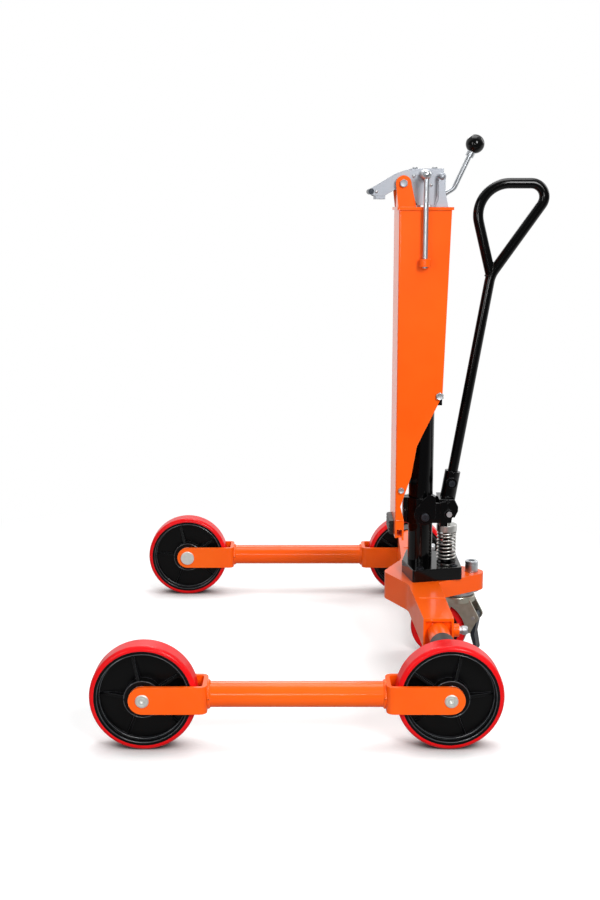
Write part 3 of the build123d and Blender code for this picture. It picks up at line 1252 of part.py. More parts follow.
def caster_bolt_places():
    inset = 2 * CASTER_BOLT_D
    return [(CASTER_PLATE_FRONT_X + inset, s * (CASTER_PLATE_W / 2 - CASTER_BOLT_D)) for s in (-1, 1)]


def caster_plate():
    """Top plate and fixed race dish of the caster, bolted under the tail."""
    half_w = CASTER_PLATE_W / 2
    end_r = CASTER_PLATE_END_R
    plan = polygon(
        (CASTER_PLATE_FRONT_X, -half_w),
        (CASTER_X, -half_w),
        (TAIL_X + end_r * 0.5, -end_r * 0.87),
        (TAIL_X + end_r * 0.5, end_r * 0.87),
        (CASTER_X, half_w),
        (CASTER_PLATE_FRONT_X, half_w),
    )
    plan += disc(TAIL_X, 0, end_r)
    plate = extrude(Pos(0, 0, CASTER_PLATE_Z) * plan, CASTER_PLATE_T)
    dish = rod((CASTER_X, 0, CASTER_DISH_Z), (CASTER_X, 0, CASTER_PLATE_Z + MERGE), CASTER_DISH_D / 2)
    plate += fillet(dish.edges().filter_by(GeomType.CIRCLE).sort_by(Axis.Z)[0], CASTER_DISH_H / 2)
    pin_top = (CASTER_X, 0, TAIL_LOW_Z)
    plate -= rod((CASTER_X, 0, CASTER_DISH_Z), pin_top, CASTER_PIN_D / 2 + SHAFT_GAP)
    plate -= rod((TAIL_X, 0, CASTER_PLATE_Z), (TAIL_X, 0, TAIL_LOW_Z), TAIL_BOLT_D / 2)
    for x, y in caster_bolt_places():
        plate -= rod((x, y, CASTER_PLATE_Z), (x, y, TAIL_LOW_Z), CASTER_BOLT_D / 2)
    return plate


def caster_bolts():
    """Screws up through the front of the caster plate into the tail."""
    bolts = []
    for x, y in caster_bolt_places():
        seat = (x, y, CASTER_PLATE_Z)
        end = (x, y, TAIL_LOW_Z + FRAME_TOP_T)
        low = (x, y, CASTER_PLATE_Z - CASTER_BOLT_HEAD_H)
        bolts.append(rod(seat, end, CASTER_BOLT_D / 2) + hexagon(low, seat, CASTER_BOLT_HEAD_D))
    return Compound(bolts)


def caster_fork():
    """Pressed fork: a crown on the swivel pin, two cheeks and a rear lobe for the brake."""
    crown_low = CASTER_CROWN_Z - CASTER_CROWN_T
    crown = rod((CASTER_X, 0, crown_low), (CASTER_X, 0, CASTER_CROWN_Z), CASTER_CROWN_D / 2)
    crown = fillet(crown.edges().filter_by(GeomType.CIRCLE).sort_by(Axis.Z)[-1], CASTER_CHEEK_T)
    pin_top = TAIL_LOW_Z - PLAY
    crown += rod((CASTER_X, 0, CASTER_CROWN_Z - MERGE), (CASTER_X, 0, pin_top), CASTER_PIN_D / 2)
    high = CASTER_CROWN_Z - CASTER_CHEEK_T
    half = CASTER_CROWN_D / 2 * 0.8
    lobe_r = PEDAL_LOBE_R
    boss_r = CASTER_BOSS_R
    face = polygon(
        (CASTER_X - half, high),
        (CASTER_X + half, high),
        (PEDAL_X + lobe_r * 0.87, PEDAL_Z + lobe_r * 0.5),
        (PEDAL_X + lobe_r * 0.5, PEDAL_Z - lobe_r * 0.87),
        (PEDAL_X - lobe_r * 0.5, CASTER_AXLE_Z),
        (CASTER_X - half, CASTER_AXLE_Z),
    )
    face += disc(PEDAL_X, PEDAL_Z, lobe_r)
    face -= disc(CASTER_AXLE_X, CASTER_AXLE_Z, CASTER_WHEEL_D / 2 + CASTER_ARCH_GAP)
    face += polygon(
        (CASTER_X - half, high),
        (CASTER_X - half + 2 * boss_r, high),
        (CASTER_AXLE_X + boss_r, CASTER_AXLE_Z),
        (CASTER_AXLE_X - boss_r, CASTER_AXLE_Z),
    )
    face += disc(CASTER_AXLE_X, CASTER_AXLE_Z, boss_r)
    face -= disc(CASTER_AXLE_X, CASTER_AXLE_Z, CASTER_AXLE_D / 2)
    face -= disc(PEDAL_X, PEDAL_Z, PEDAL_PIN_D / 2)
    cheek = slab(face, CASTER_CHEEK_Y, CASTER_CHEEK_Y + CASTER_CHEEK_T)
    return crown + cheek + mirror(cheek, about=Plane.XZ)


def caster_axle():
    reach = CASTER_CHEEK_Y + CASTER_CHEEK_T
    start = (CASTER_AXLE_X, -reach, CASTER_AXLE_Z)
    end = (CASTER_AXLE_X, reach, CASTER_AXLE_Z)
    axle = rod(start, end, CASTER_AXLE_D / 2)
    for side in (-1, 1):
        face = (CASTER_AXLE_X, side * reach, CASTER_AXLE_Z)
        axle += hexagon(face, (CASTER_AXLE_X, side * (reach + CASTER_NUT_H), CASTER_AXLE_Z), CASTER_NUT_D)
    return axle


def caster_core():
    rim_r = CASTER_WHEEL_D / 2 - CASTER_TYRE_T
    hub_w = 2 * (CASTER_CHEEK_Y - SIDE_PLAY)
    core = Cylinder(rim_r, CASTER_WHEEL_W) - Cylinder(rim_r - RIM_WALL, CASTER_WHEEL_W)
    core += Cylinder(rim_r - MERGE, WEB_T) + Cylinder(CASTER_HUB_D / 2, hub_w)
    core -= Cylinder(CASTER_AXLE_D / 2 + SHAFT_GAP, hub_w)
    return Rot(90, 0, 0) * core


def brake_pedal():
    """Foot pedal hinged behind the caster wheel, with a shoe that faces the tyre."""
    hub_r = PEDAL_HUB_R
    knee_z = PEDAL_Z - PEDAL_KNEE_DROP
    tip_x = PEDAL_X + PEDAL_TIP_OUT
    tip_z = PEDAL_Z - PEDAL_TIP_DROP
    arm = polygon(
        (PEDAL_X - hub_r, PEDAL_Z),
        (PEDAL_X + hub_r, PEDAL_Z),
        (PEDAL_X + hub_r * 0.3, knee_z + PEDAL_T),
        (tip_x, tip_z),
        (tip_x - PEDAL_T, tip_z - PEDAL_T / 2),
        (PEDAL_X - hub_r * 0.7, knee_z),
    )
    arm += disc(PEDAL_X, PEDAL_Z, hub_r)
    arm -= disc(PEDAL_X, PEDAL_Z, PEDAL_PIN_D / 2 + SHAFT_GAP)
    return slab(arm, -PEDAL_W / 2, PEDAL_W / 2)


def pedal_pin():
    reach = CASTER_CHEEK_Y + CASTER_CHEEK_T + PEDAL_PIN_PROUD
    return rod((PEDAL_X, -reach, PEDAL_Z), (PEDAL_X, reach, PEDAL_Z), PEDAL_PIN_D / 2)


os.makedirs("parts", exist_ok=True)

for name, side in (("left", -1), ("right", 1)):
    bearings = []
    axles = []
    for end, x, first_rib in (("front", FRONT_AXLE_X, FRONT_RIB_TURN), ("rear", REAR_AXLE_X, REAR_RIB_TURN)):
        place = Pos(x, side * LEG_Y, AXLE_Z)
        export(f"{name}_{end}_core", place * wheel_core(first_rib))
        export(f"{name}_{end}_tyre", place * wheel_tyre(WHEEL_D, WHEEL_W, TYRE_T, TYRE_SHOULDER))
        bearings += wheel_bearings(x, side * LEG_Y)
        axles.append(wheel_axle(x, side))
    export(f"{name}_bearings", Compound(bearings))
    export(f"{name}_axles", Compound(axles))
    export(f"{name}_leg", leg_frame(side))
    export(f"{name}_spigot_stop", spigot_stop(side))

export("base_frame", base_frame())
export("clamp_screws", clamp_screws())
export("tail_bolt", tail_bolt())
export("pump_block", pump_block())
export("pump_block_bolts", block_bolts())
export("release_valve", release_valve())
export("lift_cylinder", lift_cylinder())
export("cylinder_gland", cylinder_gland())
export("ram", ram())
export("lever_collar", lever_collar())
export("trunnion_caps", trunnion_caps())
export("pump_piston", pump_piston())
export("pump_spring", pump_spring())
export("pump_rocker", rocker())
export("socket_bolt", socket_bolt())
export("roller_pin", roller_pin())
export("pump_handle", pump_handle())
export("carriage_shell", carriage_shell())
export("head_plate", head_plate())
export("upper_guide", upper_guide())
export("lower_guide", lower_guide())
export("guide_bolts", guide_bolts())
export("lower_tie", lower_tie())
export("drum_pad", drum_pad())
export("jaw_plates", jaw_plates())
export("jaw_bridge", jaw_bridge())
export("jaw_bolts", jaw_bolts())
export("nose_bar", nose_bar())
export("grip_pad", grip_pad())
export("pivot_bolt", pivot_bolt())
export("link_rods", link_rods())
export("stop_pins", stop_pins())
export("lock_lever", lock_lever())
export("knob_nut", knob_nut())
export("ball_knob", ball_knob())
export("caster_plate", caster_plate())
export("caster_bolts", caster_bolts())
turned = Pos(CASTER_X, 0, 0) * Rot(0, 0, CASTER_TURN) * Pos(-CASTER_X, 0, 0)
export("caster_fork", turned * caster_fork())
export("caster_axle", turned * caster_axle())
export("pedal_pin", turned * pedal_pin())
export("brake_pedal", turned * brake_pedal())
caster_place = turned * Pos(CASTER_AXLE_X, 0, CASTER_AXLE_Z)
export("caster_core", caster_place * caster_core())
caster_tyre = wheel_tyre(CASTER_WHEEL_D, CASTER_WHEEL_W, CASTER_TYRE_T, CASTER_TYRE_SHOULDER)
export("caster_tyre", caster_place * caster_tyre)
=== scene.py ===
import json
import math

import bpy
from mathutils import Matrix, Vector


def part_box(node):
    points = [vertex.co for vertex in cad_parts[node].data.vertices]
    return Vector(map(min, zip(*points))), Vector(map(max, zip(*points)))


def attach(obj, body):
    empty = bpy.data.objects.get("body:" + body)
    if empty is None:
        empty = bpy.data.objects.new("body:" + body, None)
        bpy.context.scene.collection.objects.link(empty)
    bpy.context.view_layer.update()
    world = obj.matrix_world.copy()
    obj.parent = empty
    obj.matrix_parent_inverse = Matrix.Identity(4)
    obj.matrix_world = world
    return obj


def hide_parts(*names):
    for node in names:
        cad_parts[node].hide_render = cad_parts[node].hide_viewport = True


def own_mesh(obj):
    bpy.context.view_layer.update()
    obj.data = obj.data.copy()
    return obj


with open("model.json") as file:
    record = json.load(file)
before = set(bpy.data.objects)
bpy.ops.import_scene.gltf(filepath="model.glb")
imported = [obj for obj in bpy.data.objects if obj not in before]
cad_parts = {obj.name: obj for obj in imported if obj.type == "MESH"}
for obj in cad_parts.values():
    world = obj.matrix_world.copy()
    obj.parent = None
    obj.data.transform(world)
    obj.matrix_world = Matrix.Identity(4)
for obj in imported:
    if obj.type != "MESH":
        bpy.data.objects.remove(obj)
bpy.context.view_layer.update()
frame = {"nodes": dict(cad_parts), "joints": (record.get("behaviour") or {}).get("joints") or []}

scene = bpy.context.scene
scene.view_settings.view_transform = "Standard"


# Studio: a white paper sweep that takes the trolley's soft shadows. Soft boxes stand in front,
# on the left, overhead and behind, with a low strip for the wheels, and a lamp on the right
# draws the edges of the dark tubes.
def linear(colour):
    """A linear colour from an sRGB hex value."""
    channels = [int(colour[i : i + 2], 16) / 255 for i in (0, 2, 4)]
    return [c / 12.92 if c <= 0.04045 else ((c + 0.055) / 1.055) ** 2.4 for c in channels] + [1.0]


def add(tree, kind, inputs=None, **settings):
    """A new node with its settings, and its inputs set to values or linked to outputs."""
    made = tree.nodes.new(kind)
    for name, value in settings.items():
        setattr(made, name, value)
    for name, value in (inputs or {}).items():
        if isinstance(value, bpy.types.NodeSocket):
            tree.links.new(value, made.inputs[name])
        else:
            made.inputs[name].default_value = value
    return made


def new_material(name):
    """An empty node material: returns it with its tree and its shader."""
    material = bpy.data.materials.new(name)
    material.use_nodes = True
    tree = material.node_tree
    return material, tree, tree.nodes["Principled BSDF"]


SHARP_ANGLE = math.radians(35)


def loft(name, material, *stacks, closed=False):
    """A mesh of stacks of rings. The rings of a stack have equally many points, or just one."""
    points = []
    faces = []
    for rings in stacks:
        starts = []
        for ring in rings:
            starts.append(len(points))
            points += ring
        count = len(rings)
        for i in range(count if closed else count - 1):
            k = (i + 1) % count
            low, high = len(rings[i]), len(rings[k])
            steps = max(low, high)
            for a in range(steps):
                b = (a + 1) % steps
                corners = (
                    starts[i] + a % low,
                    starts[i] + b % low,
                    starts[k] + b % high,
                    starts[k] + a % high,
                )
                faces.append(tuple(dict.fromkeys(corners)))
    mesh = bpy.data.meshes.new(name)
    mesh.from_pydata([tuple(p) for p in points], [], faces)
    mesh.polygons.foreach_set("use_smooth", [True] * len(faces))
    mesh.set_sharp_from_angle(angle=SHARP_ANGLE)
    mesh.materials.append(material)
    piece = bpy.data.objects.new(name, mesh)
    scene.collection.objects.link(piece)
    return piece


FLOOR_R = 9.0
FLOOR_SIDES = 96
SHADOW_R = (0.75, 1.5)

# Matt white paper: it keeps the soft shadows near the trolley and runs out to plain white. The
# eye sees it a little brighter than it lights the trolley from below. Within 100 mm of the wheels
# and of whatever stands close to it, a painted shadow darkens it to the eye and takes its lift
# away. In gloss it is dim in front of the trolley and white behind it.
PAPER_LIFT = 0.22
DIM_SIDE = 0.12
DIM_FROM = (-1.6, 0.4)
PAINTED_SHADE_REACH = 0.1
PAINTED_SHADE_RANGE = (0.2, 0.8)
paper, tree, shader = new_material("white_paper_sweep")
rays = add(tree, "ShaderNodeLightPath")
place = add(tree, "ShaderNodeTexCoord")
reach = add(tree, "ShaderNodeVectorMath", {0: place.outputs["Object"]}, operation="LENGTH")
fade = add(
    tree,
    "ShaderNodeMapRange",
    {0: reach.outputs["Value"], 1: SHADOW_R[0], 2: SHADOW_R[1]},
    interpolation_type="SMOOTHSTEP",
)
# Painted contact shadow: where the trolley closes the floor in, its colour runs down to 5A5A5A and its lift
# drops.
shade_occlusion = add(tree, "ShaderNodeAmbientOcclusion", {"Distance": PAINTED_SHADE_REACH}, samples=12)
painted_contact_shade = add(
    tree,
    "ShaderNodeMapRange",
    {0: shade_occlusion.outputs["AO"], 1: PAINTED_SHADE_RANGE[0], 2: PAINTED_SHADE_RANGE[1]},
)
paper_and_painted_shade = add(tree, "ShaderNodeMix", {0: painted_contact_shade.outputs[0]}, data_type="RGBA")
paper_and_painted_shade.inputs[6].default_value = linear("5A5A5A")
paper_and_painted_shade.inputs[7].default_value = linear("F5F7F7")
tint = add(tree, "ShaderNodeMix", {0: rays.outputs["Is Camera Ray"], 7: paper_and_painted_shade.outputs[2]}, data_type="RGBA")
tint.inputs[6].default_value = linear("A8A8A8")
tree.links.new(tint.outputs[2], shader.inputs["Base Color"])
shader.inputs["Roughness"].default_value = 0.95
shader.inputs["Specular IOR Level"].default_value = 0.05
shader.inputs["Emission Color"].default_value = (1, 1, 1, 1)
lift_outside_painted_shade = add(tree, "ShaderNodeMath", {0: painted_contact_shade.outputs[0], 1: PAPER_LIFT}, operation="MULTIPLY")
lift = add(
    tree,
    "ShaderNodeMath",
    {0: rays.outputs["Is Camera Ray"], 1: lift_outside_painted_shade.outputs[0]},
    operation="MULTIPLY",
)
tree.links.new(lift.outputs[0], shader.inputs["Emission Strength"])
back = add(tree, "ShaderNodeSeparateXYZ", {0: place.outputs["Object"]})
sweep = add(
    tree,
    "ShaderNodeMapRange",
    {0: back.outputs["Y"], 1: DIM_FROM[0], 2: DIM_FROM[1], 3: DIM_SIDE, 4: 1.0},
    interpolation_type="SMOOTHSTEP",
)
strength = add(
    tree,
    "ShaderNodeMath",
    {0: rays.outputs["Is Camera Ray"], 1: sweep.outputs[0]},
    operation="MAXIMUM",
)
glow = add(tree, "ShaderNodeEmission", {"Color": (1, 1, 1, 1), "Strength": strength.outputs[0]})
mixed = add(tree, "ShaderNodeMixShader", {0: fade.outputs[0], 1: shader.outputs[0], 2: glow.outputs[0]})
tree.links.new(mixed.outputs[0], tree.nodes["Material Output"].inputs["Surface"])

turns = [2 * math.pi * i / FLOOR_SIDES for i in range(FLOOR_SIDES)]
floor_rim = [Vector((FLOOR_R * math.cos(a), FLOOR_R * math.sin(a), 0)) for a in turns]
floor = loft("studio_floor", paper, [[Vector((0, 0, 0))], floor_rim])

# The room: to the eye it is plain white all round. In gloss the white sweep shows behind the
# trolley and overhead, and the room in front of it is dim, as in a real studio.
AMBIENT = 0.25
OVERHEAD = 0.75
SWEEP_EDGE = (-0.1, 0.5)
world = bpy.data.worlds.new("studio")
scene.world = world
world.use_nodes = True
tree = world.node_tree
tree.nodes.clear()
rays = add(tree, "ShaderNodeLightPath")
way = add(tree, "ShaderNodeSeparateXYZ", {0: add(tree, "ShaderNodeTexCoord").outputs["Generated"]})
lift = add(
    tree,
    "ShaderNodeMath",
    {0: way.outputs["Z"], 1: OVERHEAD, 2: way.outputs["Y"]},
    operation="MULTIPLY_ADD",
)
sweep = add(
    tree,
    "ShaderNodeMapRange",
    {0: lift.outputs[0], 1: SWEEP_EDGE[0], 2: SWEEP_EDGE[1], 3: DIM_SIDE, 4: 1.0},
    interpolation_type="SMOOTHSTEP",
)
ambient = add(tree, "ShaderNodeBackground", {"Color": (1, 1, 1, 1), "Strength": AMBIENT})
mirrored = add(tree, "ShaderNodeBackground", {"Color": (1, 1, 1, 1), "Strength": sweep.outputs[0]})
white = add(tree, "ShaderNodeBackground", {"Color": (1, 1, 1, 1), "Strength": 1.0})
in_gloss = add(
    tree,
    "ShaderNodeMixShader",
    {0: rays.outputs["Is Glossy Ray"], 1: ambient.outputs[0], 2: mirrored.outputs[0]},
)
in_view = add(
    tree,
    "ShaderNodeMath",
    {0: rays.outputs["Is Camera Ray"], 1: rays.outputs["Is Transmission Ray"]},
    operation="MAXIMUM",
)
sky = add(tree, "ShaderNodeMixShader", {0: in_view.outputs[0], 1: in_gloss.outputs[0], 2: white.outputs[0]})
add(tree, "ShaderNodeOutputWorld", {"Surface": sky.outputs[0]})

# Each lamp: name, place (m), what it is aimed at (m), width and height (m), power (W).
LAMPS = (
    ("front_softbox", (1.3, -2.8, 2.1), (0.1, 0.0, 0.4), (0.9, 1.4), 76),
    ("left_softbox", (-1.8, -2.7, 1.4), (0.1, 0.0, 0.4), (0.6, 1.4), 20),
    ("low_strip", (-0.1, -3.0, 0.85), (0.0, -0.5, 0.1), (0.9, 0.25), 10),
    ("top_softbox", (0.3, 0.3, 3.0), (0.15, 0.0, 0.2), (1.6, 1.6), 34),
    ("edge_lamp", (2.3, 0.9, 1.9), (0.35, 0.0, 0.6), (0.5, 1.2), 10),
    ("back_softbox", (-0.3, 2.7, 2.7), (0.1, 0.0, 0.4), (1.4, 1.4), 34),
)
for name, place, target, size, power in LAMPS:
    lamp = bpy.data.lights.new(name, "AREA")
    lamp.shape = "RECTANGLE"
    lamp.size, lamp.size_y = size
    lamp.energy = power
    holder = bpy.data.objects.new(name, lamp)
    holder.location = place
    holder.rotation_euler = (Vector(target) - Vector(place)).to_track_quat("-Z", "Y").to_euler()
    scene.collection.objects.link(holder)

# The picture is 900 px high; the focal length is in its pixels, and the pitch is below level.
# The camera stands in front and left of the column, about as high as the carriage's top plate.
PICTURE_H = 900
FOCAL_PX = 1300
SENSOR_H = 24
PITCH = math.radians(10.71)
CAMERA_PLACE = (0.096, -2.776, 0.993)
lens = bpy.data.cameras.new("camera")
lens.sensor_fit = "VERTICAL"
lens.sensor_height = SENSOR_H
lens.lens = FOCAL_PX / PICTURE_H * SENSOR_H
camera = bpy.data.objects.new("camera", lens)
camera.location = CAMERA_PLACE
camera.rotation_euler = (math.radians(90) - PITCH, 0, 0)
scene.collection.objects.link(camera)
scene.camera = camera


# Base frame: a spider welded from steel plate and box section that carries the pump and
# takes a leg spigot in each arm. It is sprayed with orange enamel after welding.
def dress(material, *nodes):
    """Gives solids of the frame a finish."""
    for node in nodes:
        slots = frame["nodes"][node].data.materials
        slots.clear()
        slots.append(material)


def clouded(tree, place, patch, detail, tones, stops=(0.0, 1.0)):
    """Soft patches of a size (m) that run from one tone to another: how far, and the colour."""
    cloud = add(tree, "ShaderNodeTexNoise", {"Vector": place, "Scale": 1 / patch, "Detail": detail})
    tint = add(tree, "ShaderNodeValToRGB", {"Fac": cloud.outputs["Fac"]})
    for end, stop, tone in zip(tint.color_ramp.elements, stops, tones):
        end.position = stop
        end.color = linear(tone)
    return cloud.outputs["Fac"], tint.outputs["Color"]


def enamel(name, tones, edge_wear_and_highlight, roughness, peel_strength, specular, coat):
    """Sprayed enamel: a colour that drifts, a faint orange peel, and edges painted pale in spots, as rubbed
    paint and as a painted highlight along the edges.
    """
    material, tree, shader = new_material(name)
    place = add(tree, "ShaderNodeTexCoord").outputs["Object"]
    tint = clouded(tree, place, DRIFT, 3.0, tones, DRIFT_STOPS)[1]
    edge = add(tree, "ShaderNodeBevel", {"Radius": PAINT_EDGE}, samples=6)
    flat = add(tree, "ShaderNodeNewGeometry").outputs["Normal"]
    turn = add(tree, "ShaderNodeVectorMath", {0: edge.outputs[0], 1: flat}, operation="DOT_PRODUCT")
    edge_light_and_wear_mask = add(tree, "ShaderNodeMapRange", {0: turn.outputs["Value"], 1: 0.99, 2: 0.85})
    edge_spot_noise = add(tree, "ShaderNodeTexNoise", {"Vector": place, "Scale": 1 / PALE_EDGE_SPOT, "Detail": 5.0})
    patch = add(tree, "ShaderNodeMapRange", {0: edge_spot_noise.outputs["Fac"], 1: 0.44, 2: 0.62, 4: 0.8})
    edge_light_and_wear_spots = add(tree, "ShaderNodeMath", {0: edge_light_and_wear_mask.outputs[0], 1: patch.outputs[0]}, operation="MULTIPLY")
    # Painted highlight and wear: the edges are painted paler in spots.
    colour = add(tree, "ShaderNodeMix", {0: edge_light_and_wear_spots.outputs[0], 6: tint}, data_type="RGBA")
    colour.inputs[7].default_value = linear(edge_wear_and_highlight)
    tree.links.new(colour.outputs[2], shader.inputs["Base Color"])
    haze = add(tree, "ShaderNodeTexNoise", {"Vector": place, "Scale": 1 / HAZE, "Detail": 4.0})
    gloss = add(tree, "ShaderNodeMapRange", {0: haze.outputs["Fac"], 3: roughness[0], 4: roughness[1]})
    tree.links.new(gloss.outputs[0], shader.inputs["Roughness"])
    peel = add(tree, "ShaderNodeTexNoise", {"Vector": place, "Scale": 1 / PEEL, "Detail": 1.0})
    bump = add(
        tree,
        "ShaderNodeBump",
        {
            "Height": peel.outputs["Fac"],
            "Strength": peel_strength,
            "Distance": PEEL_DEPTH,
            "Normal": edge.outputs[0],
        },
    )
    tree.links.new(bump.outputs[0], shader.inputs["Normal"])
    shader.inputs["Specular IOR Level"].default_value = specular
    shader.inputs["Coat Weight"].default_value = coat
    shader.inputs["Coat Roughness"].default_value = 0.1
    return material


def circle(centre, way, radius, count):
    """Points round an axis."""
    turn = Vector(way).to_track_quat("Z", "Y")
    angles = [2 * math.pi * i / count for i in range(count)]
    return [Vector(centre) + turn @ Vector((radius * math.cos(a), radius * math.sin(a), 0)) for a in angles]


def run(*corners):
    """Points about a weld step apart along straight runs between corners (m)."""
    points = []
    for start, end in zip(corners, corners[1:]):
        steps = max(1, round((Vector(end) - Vector(start)).length / WELD_STEP))
        points += [Vector(start).lerp(Vector(end), i / steps) for i in range(steps)]
    return points + [Vector(corners[-1])]


def weld(name, route, width, body, finish, closed=False):
    """A rippled weld bead along a route of points (m), under the paint."""
    rings = []
    count = len(route)
    for i, point in enumerate(route):
        before = route[i - 1] if closed or i else point
        after = route[(i + 1) % count] if closed or i + 1 < count else point
        ripple = 1 - RIPPLE + RIPPLE * abs(math.cos(math.pi * i / RIPPLE_STEPS))
        rings.append(circle(point, after - before, width / 2 * ripple, BEAD_SIDES))
    if not closed:
        rings = [[route[0]]] + rings + [[route[-1]]]
    bead = loft(name, finish, rings, closed=closed)
    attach(bead, body)


# Paint: the colour drifts over 180 mm, the gloss over 40 mm, and the pale spots on the edges (rubbed paint
# and painted highlight) over 14 mm.
# Orange peel is 4 mm across, drawn 0.1 mm deep so that it shows. The film rounds edges to 1.2 mm.
DRIFT = 0.18
DRIFT_STOPS = (0.3, 0.7)
HAZE = 0.04
PALE_EDGE_SPOT = 0.014
PEEL = 0.004
PEEL_DEPTH = 0.0001
PAINT_EDGE = 0.0012

# Orange stove enamel gives a strong, even colour with a soft-edged gloss.
orange = enamel(
    "orange_stove_enamel",
    tones=("FF5A06", "FF6610"),
    edge_wear_and_highlight="FFA468",
    roughness=(0.26, 0.36),
    peel_strength=0.4,
    specular=0.1,
    coat=0.35,
)
dress(orange, "base_frame")

# The arms are boxed with a second plate, and its edge is welded across each arm. A bead lays down
# a ripple about every 4 mm, drawn in steps of 1 mm.
RIPPLE = 0.18
RIPPLE_STEPS = 4
BEAD_SIDES = 10
WELD_STEP = 0.001
ARM_SEAM = 0.003
ARM_SEAM_Y = 0.2
ARM_SEAM_X = (0.341, 0.395)
frame_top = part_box("base_frame")[1].z
for side, y in (("left", -ARM_SEAM_Y), ("right", ARM_SEAM_Y)):
    seam = run((ARM_SEAM_X[0], y, frame_top), (ARM_SEAM_X[1], y, frame_top))
    weld(f"{side}_arm_weld", seam, ARM_SEAM, "chassis", orange)

# Zinc-plated steel: pale blue-white plating over turned metal, in clouds about 12 mm across.
CLOUD = 0.012
SCREW_EDGE = 0.0006
zinc, tree, shader = new_material("zinc_plated_screws")
place = add(tree, "ShaderNodeTexCoord").outputs["Object"]
cloud, tint = clouded(tree, place, CLOUD, 4.0, ("A4A6AA", "C8CACC"))
tree.links.new(tint, shader.inputs["Base Color"])
gloss = add(tree, "ShaderNodeMapRange", {0: cloud, 3: 0.4, 4: 0.54})
tree.links.new(gloss.outputs[0], shader.inputs["Roughness"])
edge = add(tree, "ShaderNodeBevel", {"Radius": SCREW_EDGE}, samples=6)
tree.links.new(edge.outputs[0], shader.inputs["Normal"])
shader.inputs["Metallic"].default_value = 1.0


# Side legs: a steel tube welded between two forks bent from flat bar, with a spigot that
# slides in the box arm. Painted with the frame; the welds show under the paint.
LEG_WELD = 0.0065
LEG_TUBE_R = 0.024
FORK_REACH = 0.118
joints = {joint["name"]: joint for joint in frame["joints"]}
for side in ("left", "right"):
    dress(orange, f"{side}_leg")
    for end, to_tube in (("front", 1), ("rear", -1)):
        axle = Vector(joints[f"{side}_{end}_spin"]["pos_m"])
        seat = axle + Vector((to_tube * (FORK_REACH + LEG_WELD / 4), 0, 0))
        steps = round(2 * math.pi * LEG_TUBE_R / WELD_STEP / RIPPLE_STEPS) * RIPPLE_STEPS
        seam = circle(seat, (1, 0, 0), LEG_TUBE_R, steps)
        weld(f"{side}_{end}_fork_weld", seam, LEG_WELD, f"{side}_leg", orange, closed=True)
    dress(zinc, f"{side}_bearings")


# Axle pins: turned from bright bar, with a head inside the fork. The outer end shows the work of
# the lathe: a chamfer, a shallow groove and the centre hole.
def turned(start, way, profile):
    """Rings of a turned piece from its profile: distances along its axis and radii (m)."""
    rings = []
    for reach, radius in profile:
        centre = Vector(start) + reach * Vector(way)
        rings.append(circle(centre, way, radius, TURNED_SIDES) if radius else [centre])
    return rings


TURNED_SIDES = 48
AXLE_L = 0.082
AXLE_R = 0.0125
AXLE_CHAMFER = 0.0014
AXLE_HEAD_R = 0.017
AXLE_HEAD_T = 0.005
AXLE_HEAD_CHAMFER = 0.001
RING_OUT_R = 0.0082
RING_IN_R = 0.0064
RING_DEPTH = 0.0008
RING_SLOPE = 0.0005
CENTRE_R = 0.0036
CENTRE_DRILL_R = 0.0016
CENTRE_DEPTH = 0.0022
CENTRE_DRILL_DEPTH = 0.0045
AXLE_PROFILE = (
    (0, 0),
    (0, AXLE_HEAD_R - AXLE_HEAD_CHAMFER),
    (AXLE_HEAD_CHAMFER, AXLE_HEAD_R),
    (AXLE_HEAD_T, AXLE_HEAD_R),
    (AXLE_HEAD_T, AXLE_R),
    (AXLE_L - AXLE_CHAMFER, AXLE_R),
    (AXLE_L, AXLE_R - AXLE_CHAMFER),
    (AXLE_L, RING_OUT_R),
    (AXLE_L - RING_DEPTH, RING_OUT_R - RING_SLOPE),
    (AXLE_L - RING_DEPTH, RING_IN_R + RING_SLOPE),
    (AXLE_L, RING_IN_R),
    (AXLE_L, CENTRE_R),
    (AXLE_L - CENTRE_DEPTH, CENTRE_DRILL_R),
    (AXLE_L - CENTRE_DRILL_DEPTH, 0),
)

# Turned bright steel: silver grey with a soft, slightly warm gloss, in clouds about 5 mm across.
TURNED_CLOUD = 0.005
turned_steel, tree, shader = new_material("turned_bright_steel")
place = add(tree, "ShaderNodeTexCoord").outputs["Object"]
cloud, tint = clouded(tree, place, TURNED_CLOUD, 4.0, ("DADAD4", "F0F0EC"))
tree.links.new(tint, shader.inputs["Base Color"])
gloss = add(tree, "ShaderNodeMapRange", {0: cloud, 3: 0.46, 4: 0.58})
tree.links.new(gloss.outputs[0], shader.inputs["Roughness"])
shader.inputs["Metallic"].default_value = 1.0
for side, way in (("left", -1), ("right", 1)):
    pins_low, pins_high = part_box(f"{side}_axles")
    head_y = pins_high.y if way < 0 else pins_low.y
    stacks = []
    for end in ("front", "rear"):
        axle = joints[f"{side}_{end}_spin"]["pos_m"]
        stacks.append(turned((axle[0], head_y, axle[2]), (0, way, 0), AXLE_PROFILE))
    pins = loft(f"{side}_axle_pins", turned_steel, *stacks)
    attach(pins, f"{side}_leg")
    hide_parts(f"{side}_axles")

